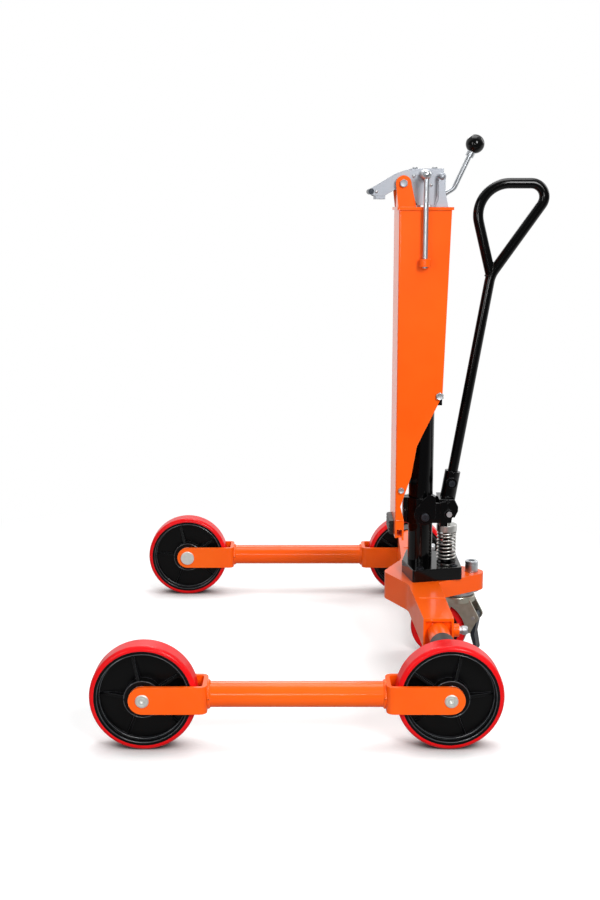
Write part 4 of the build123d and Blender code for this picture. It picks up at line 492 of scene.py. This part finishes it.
# Clamp screws: one of zinc-plated steel through the boss at the end of each arm holds the
# spigot. The head has a narrower neck, a bevelled end and a socket for the key.
CLAMP_R = 0.006
CLAMP_NECK_R = 0.0074
CLAMP_NECK_L = 0.005
CLAMP_SHOULDER = 0.001
CLAMP_HEAD_R = 0.009
CLAMP_HEAD_L = 0.017
CLAMP_END_R = 0.0072
CLAMP_BEVEL_L = 0.003
CLAMP_KEY_R = 0.0042
CLAMP_KEY_DEPTH = 0.006
screws_low, screws_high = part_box("clamp_screws")
screws_z = (screws_low.z + screws_high.z) / 2
screw_l = screws_high.x - screws_low.x
head = screw_l - CLAMP_HEAD_L
neck = head + CLAMP_NECK_L
CLAMP_PROFILE = (
    (0, 0),
    (0, CLAMP_R),
    (head, CLAMP_R),
    (head, CLAMP_NECK_R),
    (neck, CLAMP_NECK_R),
    (neck + CLAMP_SHOULDER, CLAMP_HEAD_R),
    (screw_l - CLAMP_BEVEL_L, CLAMP_HEAD_R),
    (screw_l, CLAMP_END_R),
    (screw_l, CLAMP_KEY_R),
    (screw_l - CLAMP_KEY_DEPTH, CLAMP_KEY_R),
    (screw_l - CLAMP_KEY_DEPTH, 0),
)
stacks = []
for y in (screws_low.y + CLAMP_HEAD_R, screws_high.y - CLAMP_HEAD_R):
    stacks.append(turned((screws_low.x, y, screws_z), (1, 0, 0), CLAMP_PROFILE))
screws = loft("clamp_cap_screws", zinc, *stacks)
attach(screws, "chassis")
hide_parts("clamp_screws")

# Spigot stops: rubber collars, moulded to push over the spigots and keep legs and arms apart.
# Rubber is matt with a fine bloom. Its grain is drawn 1.2 mm across so that it shows.
GRAIN = 0.0012
GRAIN_DEPTH = 0.0002
RUBBER_EDGE = 0.0015
rubber, tree, shader = new_material("moulded_black_rubber")
place = add(tree, "ShaderNodeTexCoord").outputs["Object"]
grain, tint = clouded(tree, place, GRAIN, 3.0, ("0D0D0D", "1E1E1F"))
tree.links.new(tint, shader.inputs["Base Color"])
edge = add(tree, "ShaderNodeBevel", {"Radius": RUBBER_EDGE}, samples=6)
bump = add(
    tree,
    "ShaderNodeBump",
    {"Height": grain, "Strength": 0.3, "Distance": GRAIN_DEPTH, "Normal": edge.outputs[0]},
)
tree.links.new(bump.outputs[0], shader.inputs["Normal"])
shader.inputs["Roughness"].default_value = 0.55
dress(rubber, "left_spigot_stop", "right_spigot_stop")

# Wheels: polyurethane cast on a core that is moulded in black nylon, on two ball bearings.
# Polyurethane is smooth and waxy, with a broad soft gloss and, from the pour, swirls of colour
# about 50 mm across.
SWIRL = 0.05
SWIRL_STOPS = (0.3, 0.7)
red, tree, shader = new_material("cast_red_polyurethane")
place = add(tree, "ShaderNodeTexCoord").outputs["Object"]
swirl, tint = clouded(tree, place, SWIRL, 3.0, ("DA0C12", "EA141A"), SWIRL_STOPS)
tree.links.new(tint, shader.inputs["Base Color"])
gloss = add(tree, "ShaderNodeMapRange", {0: swirl, 3: 0.3, 4: 0.4})
tree.links.new(gloss.outputs[0], shader.inputs["Roughness"])
shader.inputs["Specular IOR Level"].default_value = 0.1
shader.inputs["Coat Weight"].default_value = 0.15
shader.inputs["Coat Roughness"].default_value = 0.15

# Moulded nylon: near black with a satin face and a spark-eroded grain, drawn 1.6 mm across so
# that it shows. Its edges carry a painted highlight: they are painted a little paler, so ribs and rims draw
# fine light lines.
MOULD_GRAIN = 0.0016
MOULD_DEPTH = 0.0001
MOULD_EDGE = 0.001
nylon, tree, shader = new_material("moulded_black_nylon")
place = add(tree, "ShaderNodeTexCoord").outputs["Object"]
grain, tint = clouded(tree, place, MOULD_GRAIN, 2.0, ("020202", "060607"))
edge = add(tree, "ShaderNodeBevel", {"Radius": MOULD_EDGE}, samples=6)
flat = add(tree, "ShaderNodeNewGeometry").outputs["Normal"]
turn = add(tree, "ShaderNodeVectorMath", {0: edge.outputs[0], 1: flat}, operation="DOT_PRODUCT")
edge_light_and_wear_mask = add(tree, "ShaderNodeMapRange", {0: turn.outputs["Value"], 1: 0.99, 2: 0.8})
# Painted highlight: the edges are painted paler, up to 34363A.
colour = add(tree, "ShaderNodeMix", {0: edge_light_and_wear_mask.outputs[0], 6: tint}, data_type="RGBA")
colour.inputs[7].default_value = linear("34363A")
tree.links.new(colour.outputs[2], shader.inputs["Base Color"])
bump = add(
    tree,
    "ShaderNodeBump",
    {"Height": grain, "Strength": 0.25, "Distance": MOULD_DEPTH, "Normal": edge.outputs[0]},
)
tree.links.new(bump.outputs[0], shader.inputs["Normal"])
shader.inputs["Roughness"].default_value = 0.3
shader.inputs["Specular IOR Level"].default_value = 0.16

# Nylon lips with a painted highlight: their colour is painted pale, in spots as large as on the paint, so
# they draw fine pale lines.
lip_highlight, tree, shader = new_material("nylon_lip_painted_highlight")
place = add(tree, "ShaderNodeTexCoord").outputs["Object"]
tint = clouded(tree, place, PALE_EDGE_SPOT, 4.0, ("101011", "55585C"))[1]
tree.links.new(tint, shader.inputs["Base Color"])
shader.inputs["Roughness"].default_value = 0.22

# A fine raised lip runs round the mouth of each rim, the step inside it and the end of the hub:
# its radius, and how far from the middle of the wheel it stands (m).
LIP_R = 0.001
LIP_STEPS = 120
LIP_SIDES = 8
LIPS = ((0.0853, 0.0247), (0.0823, 0.0122), (0.0346, 0.0273))
for side in ("left", "right"):
    for end in ("front", "rear"):
        dress(nylon, f"{side}_{end}_core")
        dress(red, f"{side}_{end}_tyre")
        centre = Vector(joints[f"{side}_{end}_spin"]["pos_m"])
        stacks = []
        for radius, reach in LIPS:
            for way in (-1, 1):
                path = circle(centre + Vector((0, way * reach, 0)), (0, 1, 0), radius, LIP_STEPS)
                lip = []
                for i, point in enumerate(path):
                    along = path[(i + 1) % LIP_STEPS] - path[i - 1]
                    lip.append(circle(point, along, LIP_R, LIP_SIDES))
                stacks.append(lip)
        lips = loft(f"{side}_{end}_core_lips", lip_highlight, *stacks, closed=True)
        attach(lips, f"{side}_{end}_wheel")

# Caster: a pressed steel fork on a ball-race plate that is bolted under the tail, with a foot
# brake. The fork is passivated, so its zinc is duller and a little yellow beside the plate's.
PRESSING_EDGE = 0.001
passivated, tree, shader = new_material("passivated_zinc_pressings")
place = add(tree, "ShaderNodeTexCoord").outputs["Object"]
cloud, tint = clouded(tree, place, CLOUD, 5.0, ("A09C88", "CBC9BE"))
tree.links.new(tint, shader.inputs["Base Color"])
gloss = add(tree, "ShaderNodeMapRange", {0: cloud, 3: 0.24, 4: 0.42})
tree.links.new(gloss.outputs[0], shader.inputs["Roughness"])
edge = add(tree, "ShaderNodeBevel", {"Radius": PRESSING_EDGE}, samples=6)
tree.links.new(edge.outputs[0], shader.inputs["Normal"])
shader.inputs["Metallic"].default_value = 1.0
dress(passivated, "caster_fork")
dress(zinc, "caster_plate", "caster_axle", "caster_bolts", "pedal_pin")

# Heat-blacked steel: a dull, oily dark metal, for the pedal, the nose bar and the pump's screws.
blacked, tree, shader = new_material("heat_blacked_steel")
place = add(tree, "ShaderNodeTexCoord").outputs["Object"]
tint = clouded(tree, place, CLOUD, 4.0, ("2C2F34", "4A4E55"))[1]
tree.links.new(tint, shader.inputs["Base Color"])
shader.inputs["Metallic"].default_value = 1.0
shader.inputs["Roughness"].default_value = 0.4
dress(blacked, "brake_pedal")
dress(nylon, "caster_core")
dress(red, "caster_tyre")

# Pump block and lift cylinder: a machined casting with a drawn steel tube screwed into it,
# both sprayed gloss black. The gland nut and the chromed ram close the tube.
# Black gloss enamel is deep and smooth, and draws the lamps as narrow bright lines.
black = enamel(
    "black_gloss_enamel",
    tones=("020202", "050506"),
    edge_wear_and_highlight="48484A",
    roughness=(0.1, 0.16),
    peel_strength=0.15,
    specular=0.25,
    coat=0.0,
)
dress(black, "pump_block", "lift_cylinder")
dress(blacked, "pump_block_bolts")
dress(zinc, "release_valve", "cylinder_gland")

# Hard chrome: ground and polished, with faint lines round it from the centreless grinder, drawn
# 0.8 mm apart so that they show.
GRIND = 0.0008
GRIND_WAY = (0.05, 0.05, 1.0)
chrome, tree, shader = new_material("polished_hard_chrome")
place = add(tree, "ShaderNodeTexCoord").outputs["Object"]
stretch = add(tree, "ShaderNodeMapping", {"Vector": place, "Scale": GRIND_WAY})
lines = add(tree, "ShaderNodeTexNoise", {"Vector": stretch.outputs[0], "Scale": 1 / GRIND, "Detail": 2.0})
gloss = add(tree, "ShaderNodeMapRange", {0: lines.outputs["Fac"], 3: 0.3, 4: 0.36})
tree.links.new(gloss.outputs[0], shader.inputs["Roughness"])
shader.inputs["Base Color"].default_value = linear("BCC0C4")
shader.inputs["Metallic"].default_value = 1.0
dress(chrome, "ram")

# Tail screw: a large cap screw, turned and chromed, down through the tail and the caster plate.
# It has a flange under its head, a groove below the top and a socket for the key.
TAIL_SHANK_R = 0.01
TAIL_HEAD_H = 0.025
TAIL_FLANGE_H = 0.003
TAIL_CAP_H = 0.006
TAIL_GROOVE_H = 0.0012
TAIL_STEP = 0.0005
TAIL_BEVEL = 0.0012
TAIL_KEY_R = 0.007
TAIL_KEY_DEPTH = 0.01
tail_low, tail_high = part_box("tail_bolt")
tail_r = (tail_high.x - tail_low.x) / 2
tail_l = tail_high.z - tail_low.z
seat = tail_l - TAIL_HEAD_H
groove = tail_l - TAIL_CAP_H - TAIL_GROOVE_H
TAIL_PROFILE = (
    (0, 0),
    (0, TAIL_SHANK_R),
    (seat, TAIL_SHANK_R),
    (seat, tail_r),
    (seat + TAIL_FLANGE_H, tail_r),
    (seat + TAIL_FLANGE_H, tail_r - TAIL_STEP),
    (groove, tail_r - TAIL_STEP),
    (groove, tail_r - 3 * TAIL_STEP),
    (groove + TAIL_GROOVE_H, tail_r - 3 * TAIL_STEP),
    (groove + TAIL_GROOVE_H, tail_r - TAIL_STEP),
    (tail_l - TAIL_BEVEL, tail_r - TAIL_STEP),
    (tail_l, tail_r - TAIL_STEP - TAIL_BEVEL),
    (tail_l, TAIL_KEY_R),
    (tail_l - TAIL_KEY_DEPTH, TAIL_KEY_R),
    (tail_l - TAIL_KEY_DEPTH, 0),
)
foot = ((tail_low.x + tail_high.x) / 2, 0, tail_low.z)
screw = loft("tail_cap_screw", chrome, turned(foot, (0, 0, 1), TAIL_PROFILE))
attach(screw, "chassis")
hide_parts("tail_bolt")

# Hand pump: a rocker on the trunnions of a split collar pushes a plunger down against its
# return spring. The levers are painted, the plunger and the pin are bright steel.
dress(black, "lever_collar", "pump_rocker")
dress(blacked, "trunnion_caps", "socket_bolt")
dress(zinc, "roller_pin")

# The plunger: near black below the underside of its cap, where it runs in the spring, and bright on the cap
# above.
CAP_UNDERSIDE = 0.2868
plunger, tree, shader = new_material("plunger_steel_dark_below_cap")
place = add(tree, "ShaderNodeTexCoord").outputs["Object"]
height = add(tree, "ShaderNodeSeparateXYZ", {0: place})
above_cap_mask = add(tree, "ShaderNodeMath", {0: height.outputs["Z"], 1: CAP_UNDERSIDE}, operation="GREATER_THAN")
tint = clouded(tree, place, CLOUD, 4.0, ("A8A8A6", "D2D2CE"))[1]
colour = add(tree, "ShaderNodeMix", {0: above_cap_mask.outputs[0], 7: tint}, data_type="RGBA")
colour.inputs[6].default_value = linear("1C1B1A")
tree.links.new(colour.outputs[2], shader.inputs["Base Color"])
shader.inputs["Roughness"].default_value = 0.34
shader.inputs["Metallic"].default_value = 1.0
dress(plunger, "pump_piston")

# Return spring: zinc-plated wire, wound with closed ends that are ground flat. It stands on the
# pump block round the plunger, and each stroke shortens it.
WIRE_R = 0.0024
WIRE_SIDES = 12
SPRING_TURNS = 8
SPRING_STEPS = 36
CLOSED_TURNS = 0.8
CLOSED_PITCH = 2.1
spring_low, spring_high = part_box("pump_spring")
spring_axis = (spring_low + spring_high) / 2
coil_r = (spring_high.y - spring_low.y) / 2 - WIRE_R
coil_low = spring_low.z + WIRE_R
coil_rise = spring_high.z - spring_low.z - 2 * WIRE_R
closed_rise = CLOSED_TURNS * CLOSED_PITCH * WIRE_R
free_rise = coil_rise - 2 * closed_rise
free_turns = SPRING_TURNS - 2 * CLOSED_TURNS


def coil_height(turn):
    """Height of the wire's centre after a number of turns: close at the ends, open between."""
    if turn < CLOSED_TURNS:
        return coil_low + closed_rise * turn / CLOSED_TURNS
    if turn > SPRING_TURNS - CLOSED_TURNS:
        return coil_low + coil_rise - closed_rise * (SPRING_TURNS - turn) / CLOSED_TURNS
    return coil_low + closed_rise + free_rise * (turn - CLOSED_TURNS) / free_turns


wire = []
for i in range(SPRING_TURNS * SPRING_STEPS + 1):
    turn = i / SPRING_STEPS
    angle = 2 * math.pi * turn
    out = Vector((math.cos(angle), math.sin(angle), 0))
    along = Vector((-math.sin(angle), math.cos(angle), 0))
    middle = Vector((spring_axis.x, spring_axis.y, coil_height(turn))) + coil_r * out
    wire.append(circle(middle, along, WIRE_R, WIRE_SIDES))
tips = [[ring[0].lerp(ring[WIRE_SIDES // 2], 0.5)] for ring in (wire[0], wire[-1])]
wire = [tips[0]] + wire + [tips[1]]
for ring in wire:
    for point in ring:
        point.z = min(max(point.z, spring_low.z + WIRE_R / 2), spring_high.z - WIRE_R / 2)

# Plated wire with painted shade: bright on the faces turned out of the coil, and painted near black on
# those turned into it, where shade falls.
spring_steel, tree, shader = new_material("zinc_plated_spring_wire")
place = add(tree, "ShaderNodeTexCoord").outputs["Object"]
tint = clouded(tree, place, CLOUD, 4.0, ("A09E9A", "CFCDC8"))[1]
facing = add(tree, "ShaderNodeTexCoord").outputs["Normal"]
axis = (spring_axis.x, spring_axis.y, 0)
offset = add(tree, "ShaderNodeVectorMath", {0: place, 1: axis}, operation="SUBTRACT")
level = add(tree, "ShaderNodeVectorMath", {0: offset.outputs[0], 1: (1, 1, 0)}, operation="MULTIPLY")
away = add(tree, "ShaderNodeVectorMath", {0: level.outputs[0]}, operation="NORMALIZE")
turn = add(tree, "ShaderNodeVectorMath", {0: away.outputs[0], 1: facing}, operation="DOT_PRODUCT")
# Painted shade: the faces that look into the coil are darkened.
painted_coil_shade = add(tree, "ShaderNodeMapRange", {0: turn.outputs["Value"], 1: -0.3, 2: 0.4})
colour = add(tree, "ShaderNodeMix", {0: painted_coil_shade.outputs[0], 7: tint}, data_type="RGBA")
colour.inputs[6].default_value = linear("141312")
tree.links.new(colour.outputs[2], shader.inputs["Base Color"])
shader.inputs["Roughness"].default_value = 0.28
shader.inputs["Metallic"].default_value = 1.0
spring = loft("return_spring", spring_steel, wire)
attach(spring, "chassis")
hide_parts("pump_spring")
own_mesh(spring)

# Pump handle: steel tube bent to a closed loop and sprayed gloss black. The front limb of the
# loop butts on its own stem, and a weld bead runs round where the two meet.
dress(black, "pump_handle")
HANDLE_R = 0.011
HANDLE_WELD = 0.0045
LOOP_STEPS = 72
LOOP_REACH = 0.08
LOOP_TRIM = 0.0005
LOOP_ROOT = Vector((0.5, 0, 0.845))
STEM_WAY = Vector((-84, 0, -500)).normalized()
REAR_WAY = Vector((134, 0, 191)).normalized()
FRONT_WAY = Vector((-48, 0, 191)).normalized()
ACROSS = Vector((0, 1, 0))


def stem_distance(point):
    """How far a point lies from the line through the stem and the rear limb."""
    arm = point - LOOP_ROOT
    limbs = [arm - max(0, arm.dot(way)) * way for way in (STEM_WAY, REAR_WAY)]
    return min(limb.length for limb in limbs)


seam = []
for i in range(LOOP_STEPS):
    angle = 2 * math.pi * i / LOOP_STEPS
    side_way = FRONT_WAY.cross(ACROSS)
    skin = LOOP_ROOT + HANDLE_R * (math.cos(angle) * side_way + math.sin(angle) * ACROSS)
    reach = LOOP_REACH
    while reach > 0 and stem_distance(skin + reach * FRONT_WAY) > HANDLE_R:
        reach -= LOOP_TRIM
    seam.append(skin + reach * FRONT_WAY)
weld("loop_weld", seam, HANDLE_WELD, "pump_lever", black, closed=True)

# Lifting carriage: a channel folded from sheet steel with a plate welded on top, in the orange
# of the frame. It rides on the cylinder in two nylon blocks.
dress(orange, "carriage_shell", "head_plate")
dress(nylon, "upper_guide", "lower_guide")

# Small beads hold the lugs to the head plate, the rod guides to the sides and the foot's lip.
SHELL_Y = 0.075
SMALL_WELD = 0.0035
LUG_Y = 0.052
LUG_FOOT = (0.302, 0.335)
GUIDE_NECK = (0.3468, 0.3582)
GUIDE_ENDS = (0.867, 0.883)
FOOT_SEAM_Z = 0.3287
FOOT_SEAM = (0.302, 0.3165)
HEAD_TOP = 0.987
for side, way in (("left", -1), ("right", 1)):
    y = way * LUG_Y
    foot = run((LUG_FOOT[0], y, HEAD_TOP), (LUG_FOOT[1], y, HEAD_TOP))
    weld(f"{side}_lug_weld", foot, SMALL_WELD, "carriage", orange)
    y = way * SHELL_Y
    neck = run(
        (GUIDE_NECK[0], y, GUIDE_ENDS[0]),
        (GUIDE_NECK[1], y, GUIDE_ENDS[0]),
        (GUIDE_NECK[1], y, GUIDE_ENDS[1]),
        (GUIDE_NECK[0], y, GUIDE_ENDS[1]),
        (GUIDE_NECK[0], y, GUIDE_ENDS[0]),
    )
    weld(f"{side}_guide_weld", neck[:-1], SMALL_WELD, "carriage", orange, closed=True)
    lip = run((FOOT_SEAM[0], y, FOOT_SEAM_Z), (FOOT_SEAM[1], y, FOOT_SEAM_Z))
    weld(f"{side}_foot_weld", lip, SMALL_WELD, "carriage", orange)

# Load pad: a block of black rubber at the foot of the carriage, against which the load leans.
# It is moulded with three grooves across its face, and its edges are rounded.
PAD_ROUND = 0.004
PAD_ROUND_STEPS = 8
PAD_STEPS = 80
GROOVES = 3
GROOVE_HALF = 0.0016
GROOVE_DEPTH = 0.0022
pad_low, pad_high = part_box("drum_pad")
pad_t = pad_high.x - pad_low.x
pad_l = pad_high.z - pad_low.z
pad_half = pad_high.y
pad_middle = (pad_low + pad_high) / 2


def rounded(inset):
    """How far a rounded edge lies below the face at a distance from the end of the pad."""
    return PAD_ROUND - math.sqrt(max(0, PAD_ROUND**2 - max(0, PAD_ROUND - inset) ** 2))


def pad_depth(y, z):
    """Thickness of the pad at a place on its face."""
    depth = pad_t - rounded(pad_half - abs(y)) - rounded(min(z - pad_low.z, pad_high.z - z))
    for i in range(1, GROOVES + 1):
        away = abs(z - pad_low.z - i * pad_l / (GROOVES + 1)) / GROOVE_HALF
        if away < 1:
            depth -= GROOVE_DEPTH * math.cos(away * math.pi / 2)
    return max(depth, PAD_ROUND / 2)


pad_zs = [pad_low.z + pad_l * i / PAD_STEPS for i in range(PAD_STEPS + 1)]
quarter = [math.pi / 2 * i / PAD_ROUND_STEPS for i in range(PAD_ROUND_STEPS, -1, -1)]
pad_ys = [pad_half - PAD_ROUND * (1 - math.cos(a)) for a in quarter]
pad_ys = [-y for y in reversed(pad_ys)] + pad_ys
pad_rings = []
for y in pad_ys:
    face = [Vector((pad_high.x - pad_depth(y, z), y, z)) for z in pad_zs]
    pad_rings.append(face + [Vector((pad_high.x, y, pad_high.z)), Vector((pad_high.x, y, pad_low.z))])
ends = [[Vector((pad_high.x - PAD_ROUND / 4, y, pad_middle.z))] for y in (-pad_half, pad_half)]
pad = loft("moulded_drum_pad", rubber, [ends[0]] + pad_rings + [ends[1]])
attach(pad, "carriage")
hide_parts("drum_pad")


# Guide bolts: zinc-plated hexagon screws through the sides of the carriage into the upper
# block. Their heads are turned down at 30 degrees and dished 0.4 mm on top.
def hex_head(seat, way, across, height):
    """Rings of a hexagon head from its seat: turned-down corners and a slightly dished top."""
    turn = Vector(way).to_track_quat("Z", "Y")
    flat = across / 2 * math.cos(math.pi / 6)
    angles = [2 * math.pi * i / HEAD_STEPS for i in range(HEAD_STEPS)]
    sides = [flat / math.cos((a + math.pi / 6) % (math.pi / 3) - math.pi / 6) for a in angles]

    def ring(radii, heights):
        spots = zip(angles, radii, heights)
        return [Vector(seat) + turn @ Vector((r * math.cos(a), r * math.sin(a), z)) for a, r, z in spots]

    level = [0] * HEAD_STEPS
    shoulder = [height - HEAD_SLOPE * (r - HEAD_RIM * flat) for r in sides]
    rim = ring([HEAD_RIM * flat] * HEAD_STEPS, [height] * HEAD_STEPS)
    dish = ring([HEAD_DISH * flat] * HEAD_STEPS, [height - HEAD_DISH_DEPTH] * HEAD_STEPS)
    top = Vector(seat) + turn @ Vector((0, 0, height - HEAD_DISH_DEPTH))
    return [[Vector(seat)], ring(sides, level), ring(sides, shoulder), rim, dish, [top]]


HEAD_STEPS = 48
HEAD_SLOPE = math.tan(math.radians(30))
HEAD_RIM = 0.93
HEAD_DISH = 0.8
HEAD_DISH_DEPTH = 0.0004
GUIDE_HEAD = 0.017
GUIDE_HEAD_H = 0.007
bolts_low, bolts_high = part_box("guide_bolts")
bolt_middle = (bolts_low + bolts_high) / 2
stacks = []
for side in (-1, 1):
    seat = bolt_middle + Vector((0, side * (bolts_high.y - bolt_middle.y - GUIDE_HEAD_H), 0))
    stacks.append(hex_head(seat, (0, side, 0), GUIDE_HEAD, GUIDE_HEAD_H))
heads = loft("guide_bolt_heads", zinc, *stacks)
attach(heads, "carriage")
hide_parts("guide_bolts")


# Lower tie: a zinc-plated spacer tube between the sides of the carriage, which it keeps apart,
# held by a hexagon screw at each end.
def bar(start, end, radius, chamfer):
    """Rings of a round bar with chamfered ends."""
    start = Vector(start)
    end = Vector(end)
    way = (end - start).normalized()
    return [
        [start],
        circle(start, way, radius - chamfer, BAR_SIDES),
        circle(start + chamfer * way, way, radius, BAR_SIDES),
        circle(end - chamfer * way, way, radius, BAR_SIDES),
        circle(end, way, radius - chamfer, BAR_SIDES),
        [end],
    ]


BAR_SIDES = 40
TIE_R = 0.007
TIE_CHAMFER = 0.0005
TIE_HEAD = 0.013
TIE_HEAD_H = 0.007
SHEET_T = 0.004
tie_low, tie_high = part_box("lower_tie")
tie_middle = (tie_low + tie_high) / 2
inner = Vector((0, SHELL_Y - SHEET_T, 0))
stacks = [bar(tie_middle - inner, tie_middle + inner, TIE_R, TIE_CHAMFER)]
for side in (-1, 1):
    seat = tie_middle + Vector((0, side * SHELL_Y, 0))
    stacks.append(hex_head(seat, (0, side, 0), TIE_HEAD, TIE_HEAD_H))
tie = loft("spacer_tie", zinc, *stacks)
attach(tie, "carriage")
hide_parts("lower_tie")

# Rim jaw: two bright steel plates tied by a bridge block, hinged on the head's lugs.
# Rolled and plated plate mirrors softly along the rolling direction, in streaks 2 mm wide and
# about 25 mm long.
STREAK = 0.002
ROLLING_WAY = (0.08, 1.0, 1.0)
PLATE_EDGE = 0.0008
plate, tree, shader = new_material("bright_zinc_plate")
place = add(tree, "ShaderNodeTexCoord").outputs["Object"]
stretch = add(tree, "ShaderNodeMapping", {"Vector": place, "Scale": ROLLING_WAY})
streaks, tint = clouded(tree, stretch.outputs[0], STREAK, 3.0, ("989CA2", "ACB0B8"))
tree.links.new(tint, shader.inputs["Base Color"])
gloss = add(tree, "ShaderNodeMapRange", {0: streaks, 3: 0.5, 4: 0.62})
tree.links.new(gloss.outputs[0], shader.inputs["Roughness"])
edge = add(tree, "ShaderNodeBevel", {"Radius": PLATE_EDGE}, samples=6)
tree.links.new(edge.outputs[0], shader.inputs["Normal"])
shader.inputs["Metallic"].default_value = 1.0
dress(plate, "jaw_plates", "jaw_bridge", "grip_pad")

# Pivot bolt: a long hexagon bolt through both lugs, plated as the jaw is, on which the jaw
# swings. Its nut is on the right.
PIVOT_R = 0.006
PIVOT_CHAMFER = 0.001
PIVOT_HEAD = 0.017
PIVOT_HEAD_H = 0.007
pivot_low, pivot_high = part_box("pivot_bolt")
pivot_middle = (pivot_low + pivot_high) / 2
head_seat = Vector((pivot_middle.x, -LUG_Y, pivot_middle.z))
nut_seat = Vector((pivot_middle.x, LUG_Y, pivot_middle.z))
bolt_end = Vector((pivot_middle.x, pivot_high.y, pivot_middle.z))
stacks = [
    bar(head_seat, bolt_end, PIVOT_R, PIVOT_CHAMFER),
    hex_head(head_seat, (0, -1, 0), PIVOT_HEAD, PIVOT_HEAD_H),
    hex_head(nut_seat, (0, 1, 0), PIVOT_HEAD, PIVOT_HEAD_H),
]
pivot = loft("jaw_pivot_bolt", plate, *stacks)
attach(pivot, "carriage")
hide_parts("pivot_bolt")

# Bridge screws: two low, zinc-plated hexagon screws hold the bridge block down. Their shanks
# are out of sight in it.
BRIDGE_HEAD = 0.013
BRIDGE_HEAD_H = 0.004
BRIDGE_SCREW_X = (0.336, 0.377)
seat_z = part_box("jaw_bolts")[1].z - BRIDGE_HEAD_H
stacks = [hex_head((x, 0, seat_z), (0, 0, 1), BRIDGE_HEAD, BRIDGE_HEAD_H) for x in BRIDGE_SCREW_X]
screws = loft("bridge_screw_heads", zinc, *stacks)
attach(screws, "jaw")
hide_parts("jaw_bolts")

# Riveted pins: plated steel pins tie the jaw plates, and their ends are hammered to small domes
# on the outside. Each stands at an x and z (m).
PIN_R = 0.0034
PIN_PROUD = 0.0018
PIN_SIDES = 24
PIN_STEPS = 6
PIN_PLACES = ((0.2535, 1.0185), (0.330, 1.050), (0.366, 1.032))
JAW_FACE_Y = 0.042
stacks = []
for side in (-1, 1):
    for x, z in PIN_PLACES:
        foot = Vector((x, side * JAW_FACE_Y, z))
        dome = [[foot]]
        for i in range(PIN_STEPS):
            angle = math.pi / 2 * i / PIN_STEPS
            centre = foot + Vector((0, side * PIN_PROUD * math.sin(angle), 0))
            dome.append(circle(centre, (0, side, 0), PIN_R * math.cos(angle), PIN_SIDES))
        stacks.append(dome + [[foot + Vector((0, side * PIN_PROUD, 0))]])
pins = loft("jaw_pin_ends", zinc, *stacks)
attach(pins, "jaw")

# Stud collars: a collar of zinc-plated steel, turned to a ball, stands on each of the jaw's
# studs and keeps the link rod clear of the plate.
COLLAR_R = 0.0108
COLLAR_L = 0.017
COLLAR_STEPS = 10
profile = [(0, 0)]
for i in range(COLLAR_STEPS + 1):
    along = COLLAR_L * i / COLLAR_STEPS
    off = along - COLLAR_L / 2
    profile.append((along, math.sqrt(COLLAR_R**2 - off**2)))
profile.append((COLLAR_L, 0))
rods_low, rods_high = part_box("link_rods")
stud_x = (rods_low.x + rods_high.x) / 2
stud_z = rods_high.z - (rods_high.x - rods_low.x) / 2
stacks = []
for side in (-1, 1):
    stacks.append(turned((stud_x, side * JAW_FACE_Y, stud_z), (0, side, 0), profile))
collars = loft("stud_collars", zinc, *stacks)
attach(collars, "jaw")

# Nose bar: a round steel bar across the tip of the jaw, hardened and blacked as the screws of
# the pump are, and pressed into both plates.
dress(blacked, "nose_bar")

# Link rods: chromed bar with ball ends, which slides in guides on the sides of the carriage.
# The stops beside the jaw are cut from the same plate as the jaw.
dress(chrome, "link_rods")
dress(plate, "stop_pins")

# Lock lever: a chromed bar, bent up from the right side of the jaw, with a phenolic ball knob
# and its collar nut screwed on the end.
dress(chrome, "lock_lever", "knob_nut")

# Phenolic is pressed to a hard, deep black gloss, clouded a little by hands.
phenolic, tree, shader = new_material("pressed_black_phenolic")
place = add(tree, "ShaderNodeTexCoord").outputs["Object"]
cloud, tint = clouded(tree, place, CLOUD, 2.0, ("050505", "0B0B0B"))
tree.links.new(tint, shader.inputs["Base Color"])
gloss = add(tree, "ShaderNodeMapRange", {0: cloud, 3: 0.06, 4: 0.14})
tree.links.new(gloss.outputs[0], shader.inputs["Roughness"])
shader.inputs["Specular IOR Level"].default_value = 0.25
dress(phenolic, "ball_knob")
